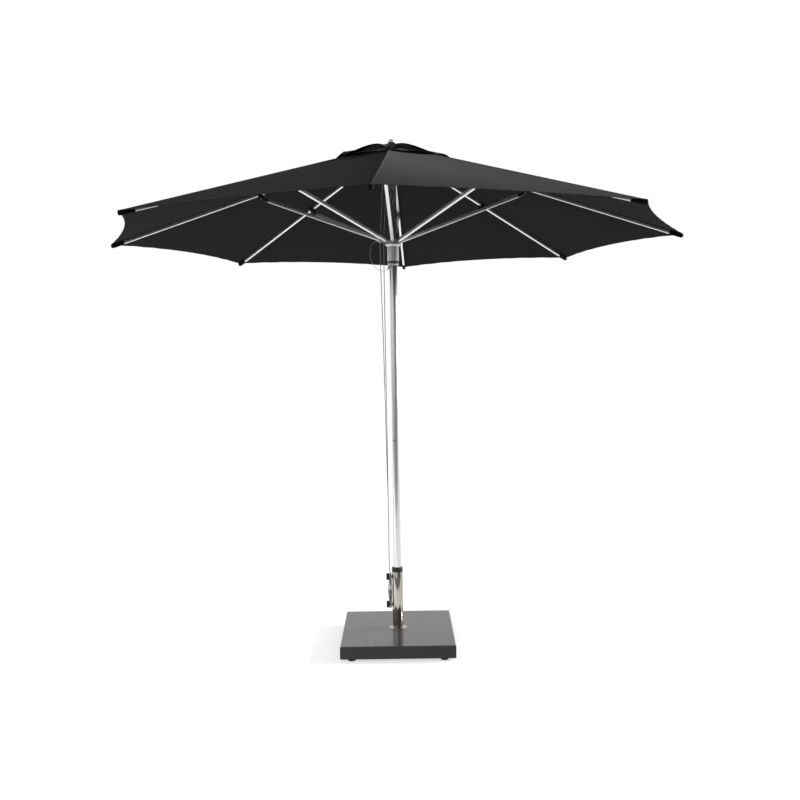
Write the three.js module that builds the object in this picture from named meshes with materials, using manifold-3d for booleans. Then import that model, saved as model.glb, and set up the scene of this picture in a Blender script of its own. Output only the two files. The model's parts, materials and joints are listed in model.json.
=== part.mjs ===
// A round garden parasol, 2.9 m across, on a polished granite base: eight folding ribs on a halyard and a
// locking pin, standing in a steel tube with two clamp knobs. Millimetres, +Z up. The origin is on the floor,
// under the middle of the mast.
import * as THREE from "three";
import { mergeVertices } from "three/addons/utils/BufferGeometryUtils.js";
import Module from "manifold-3d";

const wasm = await Module();
wasm.setup();

// ---------------------------------------------------------------- driving dimensions

const GAP = 0.3; // left between pieces that touch
const TURN = Math.PI * 2;
const FACETS = 24; // sides of a round piece

// Base
const SLAB = { side: 575, bottom: 10, top: 75, bevel: 4 };
const FOOT = { radius: 20, across: 230, along: 262 };
const FLANGE = { radius: 46, height: 5 };
const BASE_TUBE = { radius: 28, wall: 2.5, top: 375 };
const COLLAR = { radius: 28.4, top: 397, spigot: 14 };
const ANCHOR = { radius: 6, headRadius: 11, headHeight: 8, recess: 13, washerRadius: 18, washerHeight: 2.5 };
const FOOT_BUSH = { floor: 11, height: 31 };

// Clamp knobs, one above the other on the left of the base tube
const KNOB_HEIGHTS = { upper: 347, lower: 200 };
const KNOB = { radius: 16.5, lobe: 1.5, lobes: 6, inner: 41, outer: 58 };
const KNOB_SCREW = { radius: 4, inner: 20.5, outer: 50 };
const KNOB_BOSS = { radius: 8, length: 3 };

// Mast
const MAST = { radius: 20, wall: 2, bottom: 100, top: 2544 };
const MAST_PLUG = { bottom: 92, spigot: 40 };

// Folding frame: ribs hang from the hub, and a strut of equal reach joins each one to the runner
const RIBS = 8;
const CANOPY_TURN = THREE.MathUtils.degToRad(-2.6);
const SECTOR = TURN / RIBS;
const PIVOT_RADIUS = 35;
const HUB_PIVOT_Z = 2552.8;
const RIB_SLOPE = THREE.MathUtils.degToRad(17.95);
const LINK_SLOPE = THREE.MathUtils.degToRad(20);
const LINK_REACH = 680;
const RIB = { width: 13, height: 17, wall: 1.4, start: 18, tipRadius: 1462 };
const STRUT = { width: 15, height: 16, wall: 1.4, start: 22, end: 18 };
const TONGUE = { width: 9, height: 13 };
const STRUT_HEAD = { width: 12, height: 14 };
const BRACKET = { half: 11, wall: 2.2, pinRadius: 2.5 };
const WIRE_RADIUS = 1.5;

// Hub and runner: each has a slotted crown that carries the pivots
const CROWN = { radius: 40, shut: 17, open: 12, slotWidth: 10, slotFrom: 26.3, slotShut: 8.5 };
const HUB = { sleeveRadius: 24, sleeveBottom: 2465 };
const RUNNER = { bore: 20.6, sleeveTop: 30.8, sleeveBottom: 29, bottom: 1968 };
const RUNNER_BAND = { bottom: 1981, height: 6, depth: 3.5, proud: 0.4 };

// Halyard: one cord from the knobs up over the sheave under the hub, down to the runner and down to the knobs
const CORD_AZIMUTH = CANOPY_TURN - TURN / 4 - SECTOR * 1.5;
const CORD_RADIUS = 2;
const SHEAVE = { centre: 37, z: 2480, groove: 7, flange: 10, width: 5, axleRadius: 2, cheek: 1.5 };
const GUIDE = { from: 40.4, to: 79, halfWidth: 6, z: 2083, thickness: 4, slot: 2.8, slotFrom: 46, slotTo: 75 };
const WINDING = { inner: 8.4, outer: 19.6, from: 31.6, to: 40.6 };

// Locking pin, carried in a lug under the runner
const PIN_AZIMUTH = CANOPY_TURN - TURN / 4 - SECTOR / 2;
const PIN = { radius: 4, z: 1959, nose: 21, straight: 43, hole: 4.6 };
const LUG = { from: 21.5, to: 33, halfWidth: 8, bottom: 1950 };
const LANYARD_RADIUS = 1;

// Canopy, vent cap and finial
const CANOPY = { tipRadius: 1470, ventRadius: 205, scallop: 46, thickness: 1.5, lift: 1.4 };
const VENT = { radius: 340, hole: 12, crownZ: 2582.5, rimZ: 2468.2, ruffle: 36, scallop: 45, thickness: 1.5 };
const FINIAL = { radius: 20, bottom: 2586, top: 2606, stemRadius: 6, stemBottom: 2562 };

// Worked out from the above
const RIB_TOP = RIB.height / 2 / Math.cos(RIB_SLOPE);
const RUNNER_PIVOT_Z = HUB_PIVOT_Z - 2 * LINK_REACH * Math.sin(LINK_SLOPE);
const RUNNER_TRAVEL = 2 * LINK_REACH * (1 - Math.sin(LINK_SLOPE));
const JOINT_DROP = LINK_REACH * Math.sin(LINK_SLOPE - RIB_SLOPE);
const JOINT_REACH = LINK_REACH * Math.cos(LINK_SLOPE - RIB_SLOPE);
const JOINT_RADIUS = PIVOT_RADIUS + LINK_REACH * Math.cos(LINK_SLOPE);
const JOINT_Z = HUB_PIVOT_Z - LINK_REACH * Math.sin(LINK_SLOPE);

// ---------------------------------------------------------------- materials

const surface = (color, roughness, metalness) =>
  new THREE.MeshStandardMaterial({ color, roughness, metalness });

const granite = () => surface(0x4c4c49, 0.25, 0);
const rubber = () => surface(0x151515, 0.85, 0);
const polishedSteel = () => surface(0xc9c2b6, 0.12, 1);
const aluminium = () => surface(0xc2c3c5, 0.28, 1);
const castAluminium = () => surface(0xa9abad, 0.4, 1);
const blackPlastic = () => surface(0x161616, 0.5, 0);
const zincSteel = () => surface(0xb0b0ae, 0.35, 1);
const fabric = () => surface(0x2c2c2c, 0.95, 0);
const greyCord = () => surface(0x8a8b8d, 0.8, 0);

// ---------------------------------------------------------------- solids

// The solid that a closed geometry bounds, whichever way its faces were wound.
function solid(geometry) {
  const bare = geometry.clone();
  bare.deleteAttribute("normal");
  bare.deleteAttribute("uv");
  const merged = mergeVertices(bare, 1e-3);
  const vertProperties = merged.attributes.position.array;
  const triVerts = new Uint32Array(merged.index.array);
  const made = new wasm.Manifold(new wasm.Mesh({ numProp: 3, vertProperties, triVerts }));
  if (made.volume() > 0) return made;
  for (let i = 0; i < triVerts.length; i += 3) {
    [triVerts[i + 1], triVerts[i + 2]] = [triVerts[i + 2], triVerts[i + 1]];
  }
  return new wasm.Manifold(new wasm.Mesh({ numProp: 3, vertProperties, triVerts }));
}

function geometryOf(made) {
  const mesh = made.getMesh();
  const position = new THREE.BufferAttribute(new Float32Array(mesh.vertProperties), 3);
  const geometry = new THREE.BufferGeometry().setAttribute("position", position);
  geometry.setIndex(new THREE.BufferAttribute(new Uint32Array(mesh.triVerts), 1));
  return geometry;
}

const joined = (...pieces) => geometryOf(pieces.map(solid).reduce((whole, piece) => whole.add(piece)));

const cut = (piece, ...tools) =>
  geometryOf(tools.map(solid).reduce((rest, tool) => rest.subtract(tool), solid(piece)));

// A block between two corners.
function block(low, high) {
  const size = high.map((value, axis) => value - low[axis]);
  return new THREE.BoxGeometry(...size).translate(...low.map((value, axis) => value + size[axis] / 2));
}

// A round rod between two points.
function rod(from, to, radius, sides = FACETS) {
  const start = new THREE.Vector3(...from);
  const along = new THREE.Vector3(...to).sub(start);
  const turn = new THREE.Quaternion().setFromUnitVectors(
    new THREE.Vector3(0, 1, 0), along.clone().normalize());
  return new THREE.CylinderGeometry(radius, radius, along.length(), sides)
    .applyQuaternion(turn)
    .translate(...start.addScaledVector(along, 0.5).toArray());
}

// A turned piece: its profile is a list of [radius, z] corners, closed on itself or ending on the axis.
function turned(profile, sides = FACETS) {
  const points = profile.map(([radius, z]) => new THREE.Vector2(radius, z));
  return new THREE.LatheGeometry(points, sides).rotateX(TURN / 4);
}

// A ring of rectangular section.
function band(inner, outer, bottom, top, sides = FACETS) {
  return turned([[inner, bottom], [outer, bottom], [outer, top], [inner, top], [inner, bottom]], sides);
}

// A tube along a smooth curve through the points, with two steps from each point to the next, so that the
// steps are short where the points are close.
function tube(points, radius, sides = 8) {
  const curve = new THREE.CatmullRomCurve3(points.map((point) => new THREE.Vector3(...point)));
  curve.getUtoTmapping = (share) => share;
  const steps = 2 * (points.length - 1);
  const section = new THREE.Shape();
  for (let side = 0; side < sides; side++) {
    const angle = (side / sides) * TURN;
    section[side ? "lineTo" : "moveTo"](radius * Math.cos(angle), radius * Math.sin(angle));
  }
  section.closePath();
  return new THREE.ExtrudeGeometry(section, { steps, bevelEnabled: false, extrudePath: curve });
}

// A thin sheet over a grid: pointAt(column, row) is on its underside, and its thickness is straight up.
function sheet(columns, rows, pointAt, thickness, closes = false) {
  const wide = closes ? columns : columns + 1;
  const layer = wide * (rows + 1);
  const positions = [];
  for (const lift of [0, thickness]) {
    for (let row = 0; row <= rows; row++) {
      for (let column = 0; column < wide; column++) {
        const [x, y, z] = pointAt(column, row);
        positions.push(x, y, z + lift);
      }
    }
  }
  const index = [];
  const quad = (a, b, c, d) => index.push(a, b, c, a, c, d);
  const at = (column, row) => row * wide + (column % wide);
  for (let column = 0; column < columns; column++) {
    for (let row = 0; row < rows; row++) {
      const corners = [at(column, row), at(column + 1, row), at(column + 1, row + 1), at(column, row + 1)];
      quad(...corners);
      quad(...corners.reverse().map((corner) => corner + layer));
    }
    quad(at(column + 1, 0), at(column, 0), at(column, 0) + layer, at(column + 1, 0) + layer);
    quad(at(column, rows), at(column + 1, rows), at(column + 1, rows) + layer, at(column, rows) + layer);
  }
  for (let row = 0; row < rows && !closes; row++) {
    quad(at(0, row), at(0, row + 1), at(0, row + 1) + layer, at(0, row) + layer);
    quad(at(columns, row + 1), at(columns, row), at(columns, row) + layer, at(columns, row + 1) + layer);
  }
  const geometry = new THREE.BufferGeometry();
  geometry.setAttribute("position", new THREE.Float32BufferAttribute(positions, 3));
  geometry.setIndex(index);
  return geometryOf(solid(geometry));
}

const parasol = new THREE.Group();

function add(name, geometry, material, group = parasol) {
  const mesh = new THREE.Mesh(geometry, material);
  mesh.name = name;
  group.add(mesh);
  return mesh;
}

// A group that is turned round the mast, so that its +X points along the azimuth.
function facing(azimuth) {
  const group = new THREE.Group();
  group.rotation.z = azimuth;
  parasol.add(group);
  return group;
}

// ---------------------------------------------------------------- base

function slab() {
  const { side, bottom, top, bevel } = SLAB;
  const inner = side / 2 - bevel;
  const outline = new THREE.Shape([
    new THREE.Vector2(-inner, -inner),
    new THREE.Vector2(inner, -inner),
    new THREE.Vector2(inner, inner),
    new THREE.Vector2(-inner, inner),
  ]);
  const bevels = { bevelThickness: bevel, bevelSize: bevel, bevelSegments: 1 };
  const depth = top - bottom - 2 * bevel;
  const stone = new THREE.ExtrudeGeometry(outline, { depth, ...bevels }).translate(0, 0, bottom + bevel);
  const shaftHole = rod([0, 0, bottom - 1], [0, 0, top + 1], ANCHOR.radius + 1);
  const recess = rod([0, 0, bottom - 1], [0, 0, bottom + ANCHOR.recess], ANCHOR.washerRadius + 2);
  return cut(stone, shaftHole, recess);
}

function buildBase() {
  add("granite_slab", slab(), granite());
  for (let corner = 0; corner < 4; corner++) {
    const x = FOOT.across * (corner % 3 ? 1 : -1);
    const y = FOOT.along * (corner < 2 ? -1 : 1);
    const foot = rod([x, y, 0], [x, y, SLAB.bottom - GAP], FOOT.radius, 16);
    add(`foot_${corner + 1}`, foot, rubber());
  }

  const flangeBottom = SLAB.top + GAP;
  const flangeTop = flangeBottom + FLANGE.height;
  const flange = band(ANCHOR.radius + GAP, FLANGE.radius, flangeBottom, flangeTop, 32);
  add("base_flange", flange, polishedSteel());

  const washerTop = SLAB.bottom + ANCHOR.recess - GAP;
  const washerBottom = washerTop - ANCHOR.washerHeight;
  const headTop = washerBottom - GAP;
  add("anchor_washer", band(ANCHOR.radius + GAP, ANCHOR.washerRadius, washerBottom, washerTop), zincSteel());
  const shank = rod([0, 0, headTop - 1], [0, 0, flangeTop - GAP], ANCHOR.radius, 12);
  const head = rod([0, 0, headTop - ANCHOR.headHeight], [0, 0, headTop], ANCHOR.headRadius, 6);
  add("anchor_bolt", joined(shank, head), zincSteel());

  const tubeBottom = flangeTop + GAP;
  const bore = BASE_TUBE.radius - BASE_TUBE.wall;
  const screwHoles = Object.values(KNOB_HEIGHTS).map((z) =>
    rod([-BASE_TUBE.radius - 5, 0, z], [-KNOB_SCREW.inner - 1, 0, z], KNOB_SCREW.radius + 0.5, 12));
  const wall = band(bore, BASE_TUBE.radius, tubeBottom, BASE_TUBE.top);
  add("base_tube", cut(wall, ...screwHoles), polishedSteel());

  const sliding = MAST.radius + 0.5;
  const bushTop = tubeBottom + FOOT_BUSH.height;
  const bushFloor = tubeBottom + FOOT_BUSH.floor;
  const bush = turned([
    [0, tubeBottom],
    [bore - GAP, tubeBottom],
    [bore - GAP, bushTop],
    [sliding, bushTop],
    [sliding, bushFloor],
    [0, bushFloor],
  ]);
  add("foot_bush", bush, blackPlastic());

  const collarBottom = BASE_TUBE.top + GAP;
  const collar = turned([
    [sliding, BASE_TUBE.top - COLLAR.spigot],
    [bore - GAP, BASE_TUBE.top - COLLAR.spigot],
    [bore - GAP, collarBottom],
    [COLLAR.radius, collarBottom],
    [COLLAR.radius, COLLAR.top - 2],
    [COLLAR.radius - 2, COLLAR.top],
    [sliding, COLLAR.top],
    [sliding, BASE_TUBE.top - COLLAR.spigot],
  ]);
  add("tube_collar", collar, blackPlastic());
}

// ---------------------------------------------------------------- clamp knobs

function knobHead(z) {
  const outline = new THREE.Shape();
  const steps = KNOB.lobes * 6;
  for (let step = 0; step < steps; step++) {
    const angle = (step / steps) * TURN;
    const radius = KNOB.radius + KNOB.lobe * Math.cos(KNOB.lobes * angle);
    outline[step ? "lineTo" : "moveTo"](radius * Math.cos(angle), radius * Math.sin(angle));
  }
  outline.closePath();
  const bevels = { bevelThickness: 2, bevelSize: 2, bevelOffset: -2, bevelSegments: 1 };
  const depth = KNOB.outer - KNOB.inner - 4;
  const head = new THREE.ExtrudeGeometry(outline, { depth, ...bevels })
    .rotateY(-TURN / 4)
    .translate(-KNOB.inner - 2, 0, z);
  const hole = rod([-KNOB.inner + 1, 0, z], [-KNOB_SCREW.outer - GAP, 0, z], KNOB_SCREW.radius + GAP, 12);
  return cut(head, hole);
}

function buildKnobs() {
  for (const [place, z] of Object.entries(KNOB_HEIGHTS)) {
    const bossFrom = BASE_TUBE.radius + GAP;
    const boss = rod([-bossFrom, 0, z], [-bossFrom - KNOB_BOSS.length, 0, z], KNOB_BOSS.radius, 12);
    const bore = rod([-bossFrom + 1, 0, z], [-KNOB.inner, 0, z], KNOB_SCREW.radius + GAP, 12);
    add(`${place}_boss`, cut(boss, bore), zincSteel());
    add(`${place}_knob`, knobHead(z), blackPlastic());
    const screw = rod([-KNOB_SCREW.inner, 0, z], [-KNOB_SCREW.outer, 0, z], KNOB_SCREW.radius, 12);
    add(`${place}_knob_screw`, screw, zincSteel());
  }
}

// ---------------------------------------------------------------- mast

function buildMast() {
  const bore = MAST.radius - MAST.wall;
  const outward = [Math.cos(PIN_AZIMUTH), Math.sin(PIN_AZIMUTH)];
  const pinHoles = [PIN.z, PIN.z - RUNNER_TRAVEL].map((z) =>
    rod([0, 0, z], [outward[0] * 30, outward[1] * 30, z], PIN.hole, 12));
  const wall = band(bore, MAST.radius, MAST.bottom, MAST.top);
  add("mast_tube", cut(wall, ...pinHoles), aluminium());

  const seat = MAST.bottom - GAP;
  const plug = turned([
    [0, MAST_PLUG.bottom],
    [MAST.radius - 1, MAST_PLUG.bottom],
    [MAST.radius, MAST_PLUG.bottom + 1],
    [MAST.radius, seat],
    [bore - 0.5, seat],
    [bore - 0.5, seat + MAST_PLUG.spigot],
    [0, seat + MAST_PLUG.spigot],
  ]);
  add("mast_foot_plug", plug, blackPlastic());

  const dome = [[0, FINIAL.stemBottom], [FINIAL.stemRadius, FINIAL.stemBottom],
    [FINIAL.stemRadius, FINIAL.bottom], [FINIAL.radius, FINIAL.bottom]];
  const rise = FINIAL.top - FINIAL.bottom;
  for (let step = 1; step <= 4; step++) {
    const angle = (step / 4) * (TURN / 4);
    dome.push([FINIAL.radius * Math.cos(angle), FINIAL.bottom + rise * Math.sin(angle)]);
  }
  dome[dome.length - 1][0] = 0;
  add("finial", turned(dome), castAluminium());
}

// ---------------------------------------------------------------- hub and runner

// A wire ring that strings the pivots together.
function pivotRing(z, radius) {
  return new THREE.TorusGeometry(PIVOT_RADIUS, radius, 5, 24).translate(0, 0, z);
}

// A ring with a slot for each rib or strut. Its slots are open on one side: below on the hub, above on the
// runner, where side is -1 and 1.
function crown(pivotZ, side, inner) {
  const open = pivotZ + side * CROWN.open;
  const shut = pivotZ - side * CROWN.shut;
  const disc = band(inner, CROWN.radius, Math.min(open, shut), Math.max(open, shut));
  const slots = [];
  for (let rib = 0; rib < RIBS; rib++) {
    const ends = [pivotZ - side * CROWN.slotShut, open + side];
    const low = [CROWN.slotFrom, -CROWN.slotWidth / 2, Math.min(...ends)];
    const high = [CROWN.radius + 5, CROWN.slotWidth / 2, Math.max(...ends)];
    slots.push(block(low, high).rotateZ(ribAzimuth(rib)));
  }
  return cut(disc, ...slots, pivotRing(pivotZ, WIRE_RADIUS + 0.5));
}

const ribAzimuth = (rib) => CANOPY_TURN - TURN / 4 + SECTOR * rib;

function buildHub() {
  const inner = MAST.radius + GAP;
  const top = HUB_PIVOT_Z + CROWN.shut;
  const cap = band(FINIAL.stemRadius + GAP, CROWN.slotFrom - 1, MAST.top + GAP, top);
  const sleeve = band(inner, HUB.sleeveRadius, HUB.sleeveBottom, HUB_PIVOT_Z);
  const cheeks = [-1, 1].map((side) => {
    const near = SHEAVE.width / 2 + GAP;
    const ends = [side * near, side * (near + SHEAVE.cheek)];
    const reach = SHEAVE.centre + SHEAVE.flange;
    const low = [HUB.sleeveRadius - 1, Math.min(...ends), SHEAVE.z - SHEAVE.flange - 2];
    const high = [reach, Math.max(...ends), SHEAVE.z + SHEAVE.flange + 6];
    return block(low, high).rotateZ(CORD_AZIMUTH);
  });
  const body = joined(crown(HUB_PIVOT_Z, -1, inner), cap, sleeve, ...cheeks);
  const reach = SHEAVE.width / 2 + SHEAVE.cheek + 2;
  const axleHole = rod([SHEAVE.centre, -reach, SHEAVE.z], [SHEAVE.centre, reach, SHEAVE.z],
    SHEAVE.axleRadius + GAP, 12).rotateZ(CORD_AZIMUTH);
  add("top_hub", cut(body, axleHole), castAluminium());
  add("hub_pivot_ring", pivotRing(HUB_PIVOT_Z, WIRE_RADIUS), zincSteel());
}

function buildSheave() {
  const side = facing(CORD_AZIMUTH);
  const half = SHEAVE.width / 2;
  const bore = SHEAVE.axleRadius + GAP;
  const groove = [[bore, -half], [SHEAVE.flange, -half]];
  for (let step = 0; step <= 6; step++) {
    const angle = ((step - 3) / 6) * (TURN / 2);
    const radius = SHEAVE.flange - (SHEAVE.flange - SHEAVE.groove) * Math.cos(angle);
    groove.push([radius, half * 0.9 * Math.sin(angle)]);
  }
  groove.push([SHEAVE.flange, half], [bore, half], [bore, -half]);
  const wheel = turned(groove).rotateX(TURN / 4);
  add("top_sheave", wheel.translate(SHEAVE.centre, 0, SHEAVE.z), blackPlastic(), side);
  const reach = half + GAP + SHEAVE.cheek;
  const axle = rod([SHEAVE.centre, -reach, SHEAVE.z], [SHEAVE.centre, reach, SHEAVE.z], SHEAVE.axleRadius, 12);
  add("sheave_axle", axle, zincSteel(), side);
}

function buildRunner() {
  const { bore, bottom, sleeveTop, sleeveBottom } = RUNNER;
  const shoulder = RUNNER_PIVOT_Z - CROWN.shut;
  const bandTop = RUNNER_BAND.bottom + RUNNER_BAND.height;
  const grooveRadius = sleeveBottom - RUNNER_BAND.depth;
  const sleeve = turned([
    [bore, bottom],
    [sleeveBottom - 2, bottom],
    [sleeveBottom, bottom + 2],
    [sleeveBottom, RUNNER_BAND.bottom - GAP],
    [grooveRadius, RUNNER_BAND.bottom - GAP],
    [grooveRadius, bandTop + GAP],
    [sleeveBottom, bandTop + GAP],
    [sleeveTop, shoulder - 8],
    [CROWN.radius, shoulder],
    [CROWN.radius, shoulder + 1],
    [bore, shoulder + 1],
    [bore, bottom],
  ]);
  const lug = block([LUG.from, -LUG.halfWidth, LUG.bottom], [LUG.to, LUG.halfWidth, bottom + 8]);
  const pinBore = rod([LUG.from - 5, 0, PIN.z], [LUG.to + 5, 0, PIN.z], PIN.radius + GAP, 12);
  const mastRoom = rod([0, 0, LUG.bottom - 1], [0, 0, bottom + 9], bore);
  const carrier = cut(lug.rotateZ(PIN_AZIMUTH), pinBore.rotateZ(PIN_AZIMUTH), mastRoom);
  add("runner", joined(crown(RUNNER_PIVOT_Z, 1, bore), sleeve, carrier), castAluminium());
  add("runner_band",
    band(grooveRadius + GAP, sleeveBottom + RUNNER_BAND.proud, RUNNER_BAND.bottom, bandTop), blackPlastic());
  add("runner_pivot_ring", pivotRing(RUNNER_PIVOT_Z, WIRE_RADIUS), zincSteel());

  const side = facing(CORD_AZIMUTH);
  const { from, to, halfWidth, z, thickness, slot, slotFrom, slotTo } = GUIDE;
  const arm = block([from, -halfWidth, z], [to, halfWidth, z + thickness]);
  const tab = block([from, -halfWidth, z - 10], [from + 3, halfWidth, z + thickness]);
  const window = block([slotFrom, -slot, z - 1], [slotTo, slot, z + thickness + 1]);
  add("cord_guide", cut(joined(arm, tab), window), castAluminium(), side);
}

// ---------------------------------------------------------------- ribs and struts

// A box tube along +X, open at its far end where shut is false.
function boxTube({ width, height, wall }, start, end, shut) {
  const outer = block([start, -width / 2, -height / 2], [end, width / 2, height / 2]);
  const hollow = block(
    [start + 22, wall - width / 2, wall - height / 2],
    [shut ? end - 22 : end + 1, width / 2 - wall, height / 2 - wall]);
  return cut(outer, hollow);
}

// A flat tongue with a round end at the pivot, reaching from x to inside the tube that starts at `to`.
function tongue({ width, height }, x, to) {
  const half = width / 2;
  const plate = block([Math.min(x, to), -half, -height / 2], [Math.max(x, to), half, height / 2]);
  return joined(plate, rod([x, -half, 0], [x, half, 0], height / 2, 10));
}

const crossHole = (x, z, radius) => rod([x, -20, z], [x, 20, z], radius, 8);

// A rib along +X from its pivot, with the bracket that holds its strut hanging under it.
function ribGeometry() {
  const reach = (RIB.tipRadius - PIVOT_RADIUS) / Math.cos(RIB_SLOPE);
  const bar = boxTube(RIB, RIB.start, reach, false);
  const cheeks = [-1, 1].map((side) => {
    const ends = [side * (RIB.width / 2 - 0.2), side * (RIB.width / 2 - 0.2 + BRACKET.wall)];
    const [near, far] = [Math.min(...ends), Math.max(...ends)];
    const plate = block(
      [JOINT_REACH - BRACKET.half, near, -JOINT_DROP],
      [JOINT_REACH + BRACKET.half, far, RIB.height / 2 - 3]);
    const lobe = rod([JOINT_REACH, near, -JOINT_DROP], [JOINT_REACH, far, -JOINT_DROP], BRACKET.half, 10);
    return joined(plate, lobe);
  });
  const span = RIB.width / 2 + BRACKET.wall - 0.2;
  const pin = rod([JOINT_REACH, -span, -JOINT_DROP], [JOINT_REACH, span, -JOINT_DROP], BRACKET.pinRadius, 8);
  const whole = joined(tongue(TONGUE, 0, RIB.start + 10), bar, ...cheeks, pin);
  return cut(whole, crossHole(0, 0, WIRE_RADIUS + 0.6));
}

// A strut along +X from its pivot in the rib's bracket to its pivot in the runner.
function strutGeometry() {
  const bar = boxTube(STRUT, STRUT.start, LINK_REACH - STRUT.end, true);
  const vent = crossHole(LINK_REACH / 2, 0, 2);
  const head = tongue(STRUT_HEAD, 0, STRUT.start + 10);
  const foot = tongue(TONGUE, LINK_REACH, LINK_REACH - STRUT.end - 10);
  const whole = joined(head, bar, foot);
  return cut(whole, vent, crossHole(0, 0, BRACKET.pinRadius + 0.4), crossHole(LINK_REACH, 0, WIRE_RADIUS + 0.6));
}

function buildFrame() {
  for (let rib = 0; rib < RIBS; rib++) {
    const side = facing(ribAzimuth(rib));
    const bar = add(`rib_${rib + 1}`, ribGeometry(), aluminium(), side);
    bar.rotation.y = RIB_SLOPE;
    bar.position.set(PIVOT_RADIUS, 0, HUB_PIVOT_Z);
    const strut = add(`strut_${rib + 1}`, strutGeometry(), aluminium(), side);
    strut.rotation.y = TURN / 2 - LINK_SLOPE;
    strut.position.set(JOINT_RADIUS, 0, JOINT_Z);
  }
}

// ---------------------------------------------------------------- canopy and vent cap

// The underside of the stretched cloth at `reach` from the mast, measured along a rib.
const clothZ = (reach) =>
  HUB_PIVOT_Z + RIB_TOP + CANOPY.lift - (reach - PIVOT_RADIUS) * Math.tan(RIB_SLOPE);

// One eighth of the canopy, from the middle of one gore over its rib to the middle of the next.
// Each gore is flat between its ribs, and its hem curves inwards between the tips.
function canopySector() {
  const [columns, rows] = [10, 4];
  const half = SECTOR / 2;
  const cos = Math.cos(half);
  const sin = Math.sin(half);
  const pointAt = (column, row) => {
    const across = (2 * column) / columns - 1;
    const towardRib = 1 - Math.abs(across);
    const along = row / rows;
    const reach = THREE.MathUtils.lerp(CANOPY.ventRadius, CANOPY.tipRadius, along);
    const middle = reach * cos - along * CANOPY.scallop * (1 - towardRib ** 2);
    const sideways = towardRib * reach * sin;
    const seam = towardRib === 0 ? GAP / 2 : 0;
    const x = middle * cos + (sideways + seam) * sin;
    const y = middle * sin - (sideways + seam) * cos;
    return [x, Math.sign(across) * y, clothZ(middle / cos)];
  };
  return sheet(columns, rows, pointAt, CANOPY.thickness);
}

// The cap over the wind vent. Its rim lies on the ribs and stands up in a ruffle between them.
function ventCap() {
  const [columns, rows] = [48, 3];
  const pointAt = (column, row) => {
    const angle = (column / columns) * TURN;
    const along = row / rows;
    const fromRib = Math.abs(Math.sin((angle * RIBS) / 2));
    const radius = THREE.MathUtils.lerp(VENT.hole, VENT.radius - VENT.scallop * fromRib, along);
    const z = THREE.MathUtils.lerp(VENT.crownZ, VENT.rimZ, along) + VENT.ruffle * fromRib * along ** 2;
    return [radius * Math.cos(angle), radius * Math.sin(angle), z];
  };
  return sheet(columns, rows, pointAt, VENT.thickness, true);
}

function buildCanopy() {
  for (let rib = 0; rib < RIBS; rib++) {
    add(`canopy_${rib + 1}`, canopySector(), fabric(), facing(ribAzimuth(rib)));
  }
  add("vent_cap", ventCap(), fabric(), facing(ribAzimuth(0)));
}

// ---------------------------------------------------------------- halyard, locking pin and lanyard

// A point at a radius from the mast, in the plane of the halyard, moved sideways by `side`.
function beside(radius, side, z) {
  const [cos, sin] = [Math.cos(CORD_AZIMUTH), Math.sin(CORD_AZIMUTH)];
  return [radius * cos - side * sin, radius * sin + side * cos, z];
}

function buildHalyard() {
  const windingTop = KNOB_HEIGHTS.upper + WINDING.outer + CORD_RADIUS + GAP;
  const lap = SHEAVE.groove + CORD_RADIUS + GAP;
  const over = [];
  for (let step = 0; step <= 6; step++) {
    const angle = (step / 6) * (TURN / 2);
    over.push(beside(SHEAVE.centre + lap * Math.cos(angle), 0, SHEAVE.z + lap * Math.sin(angle)));
  }
  const hauling = [
    [-38, -7, windingTop],
    [-41, -8, 402],
    [-42, -11, 700],
    beside(47, 0, 950),
    beside(58, 0, 1500),
    beside(70, 0, 2080),
    beside(68.5, 0, 2110),
    beside(56, 0, 2300),
    ...over,
  ];
  const run = tube(hauling, CORD_RADIUS);
  const returning = tube([
    beside(SHEAVE.centre - lap, 0, SHEAVE.z - 3 * GAP),
    beside(37, 0, 2300),
    beside(49, 0, 2110),
    beside(50, 0, 2080),
    beside(47.5, 0, 1500),
    beside(42.5, -4.5, 950),
    [-42.5, -3, 700],
    [-41, -2, 402],
    [-38, -1, windingTop],
  ], CORD_RADIUS);
  add("halyard_hauling_run", run, greyCord());
  add("halyard_return_run", returning, greyCord());

  const { inner, outer, from, to } = WINDING;
  const racetrack = (Kind, radius) => {
    const outline = new Kind();
    outline.absarc(0, KNOB_HEIGHTS.upper, radius, 0, TURN / 2);
    outline.absarc(0, KNOB_HEIGHTS.lower, radius, TURN / 2, TURN);
    outline.closePath();
    return outline;
  };
  const outline = racetrack(THREE.Shape, outer);
  outline.holes.push(racetrack(THREE.Path, inner));
  const depth = to - from;
  const winding = new THREE.ExtrudeGeometry(outline, { depth, bevelEnabled: false, curveSegments: 8 })
    .rotateX(TURN / 4)
    .rotateZ(-TURN / 4)
    .translate(-from, 0, 0);
  add("halyard_winding", winding, greyCord());
}

function buildPin() {
  const side = facing(PIN_AZIMUTH);
  const bend = [
    [PIN.nose, 0, PIN.z],
    [PIN.nose + 8, 0, PIN.z],
    [PIN.straight - 6, 0, PIN.z],
    [PIN.straight, 0, PIN.z],
    [PIN.straight + 6, 0, PIN.z - 2],
    [PIN.straight + 12, 0, PIN.z - 8],
    [PIN.straight + 20, 0, PIN.z - 18],
  ];
  add("lock_pin", tube(bend, PIN.radius), zincSteel(), side);

  const lanyard = [
    [-30, -61, 1945],
    [-36, -66, 1938],
    [-50, -63, 1934],
    [-66, -57, 1937],
    [-82, -50, 1945],
    [-98, -46, 1960],
    [-110, -42, 1983],
    [-117, -39, 2010],
    [-117, -36, 2037],
    [-111, -33, 2060],
    [-101, -31, 2077],
    [-90, -29, 2085],
    [-79, -27, 2086],
  ];
  add("pin_lanyard", tube(lanyard, LANYARD_RADIUS), zincSteel());
}

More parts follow.
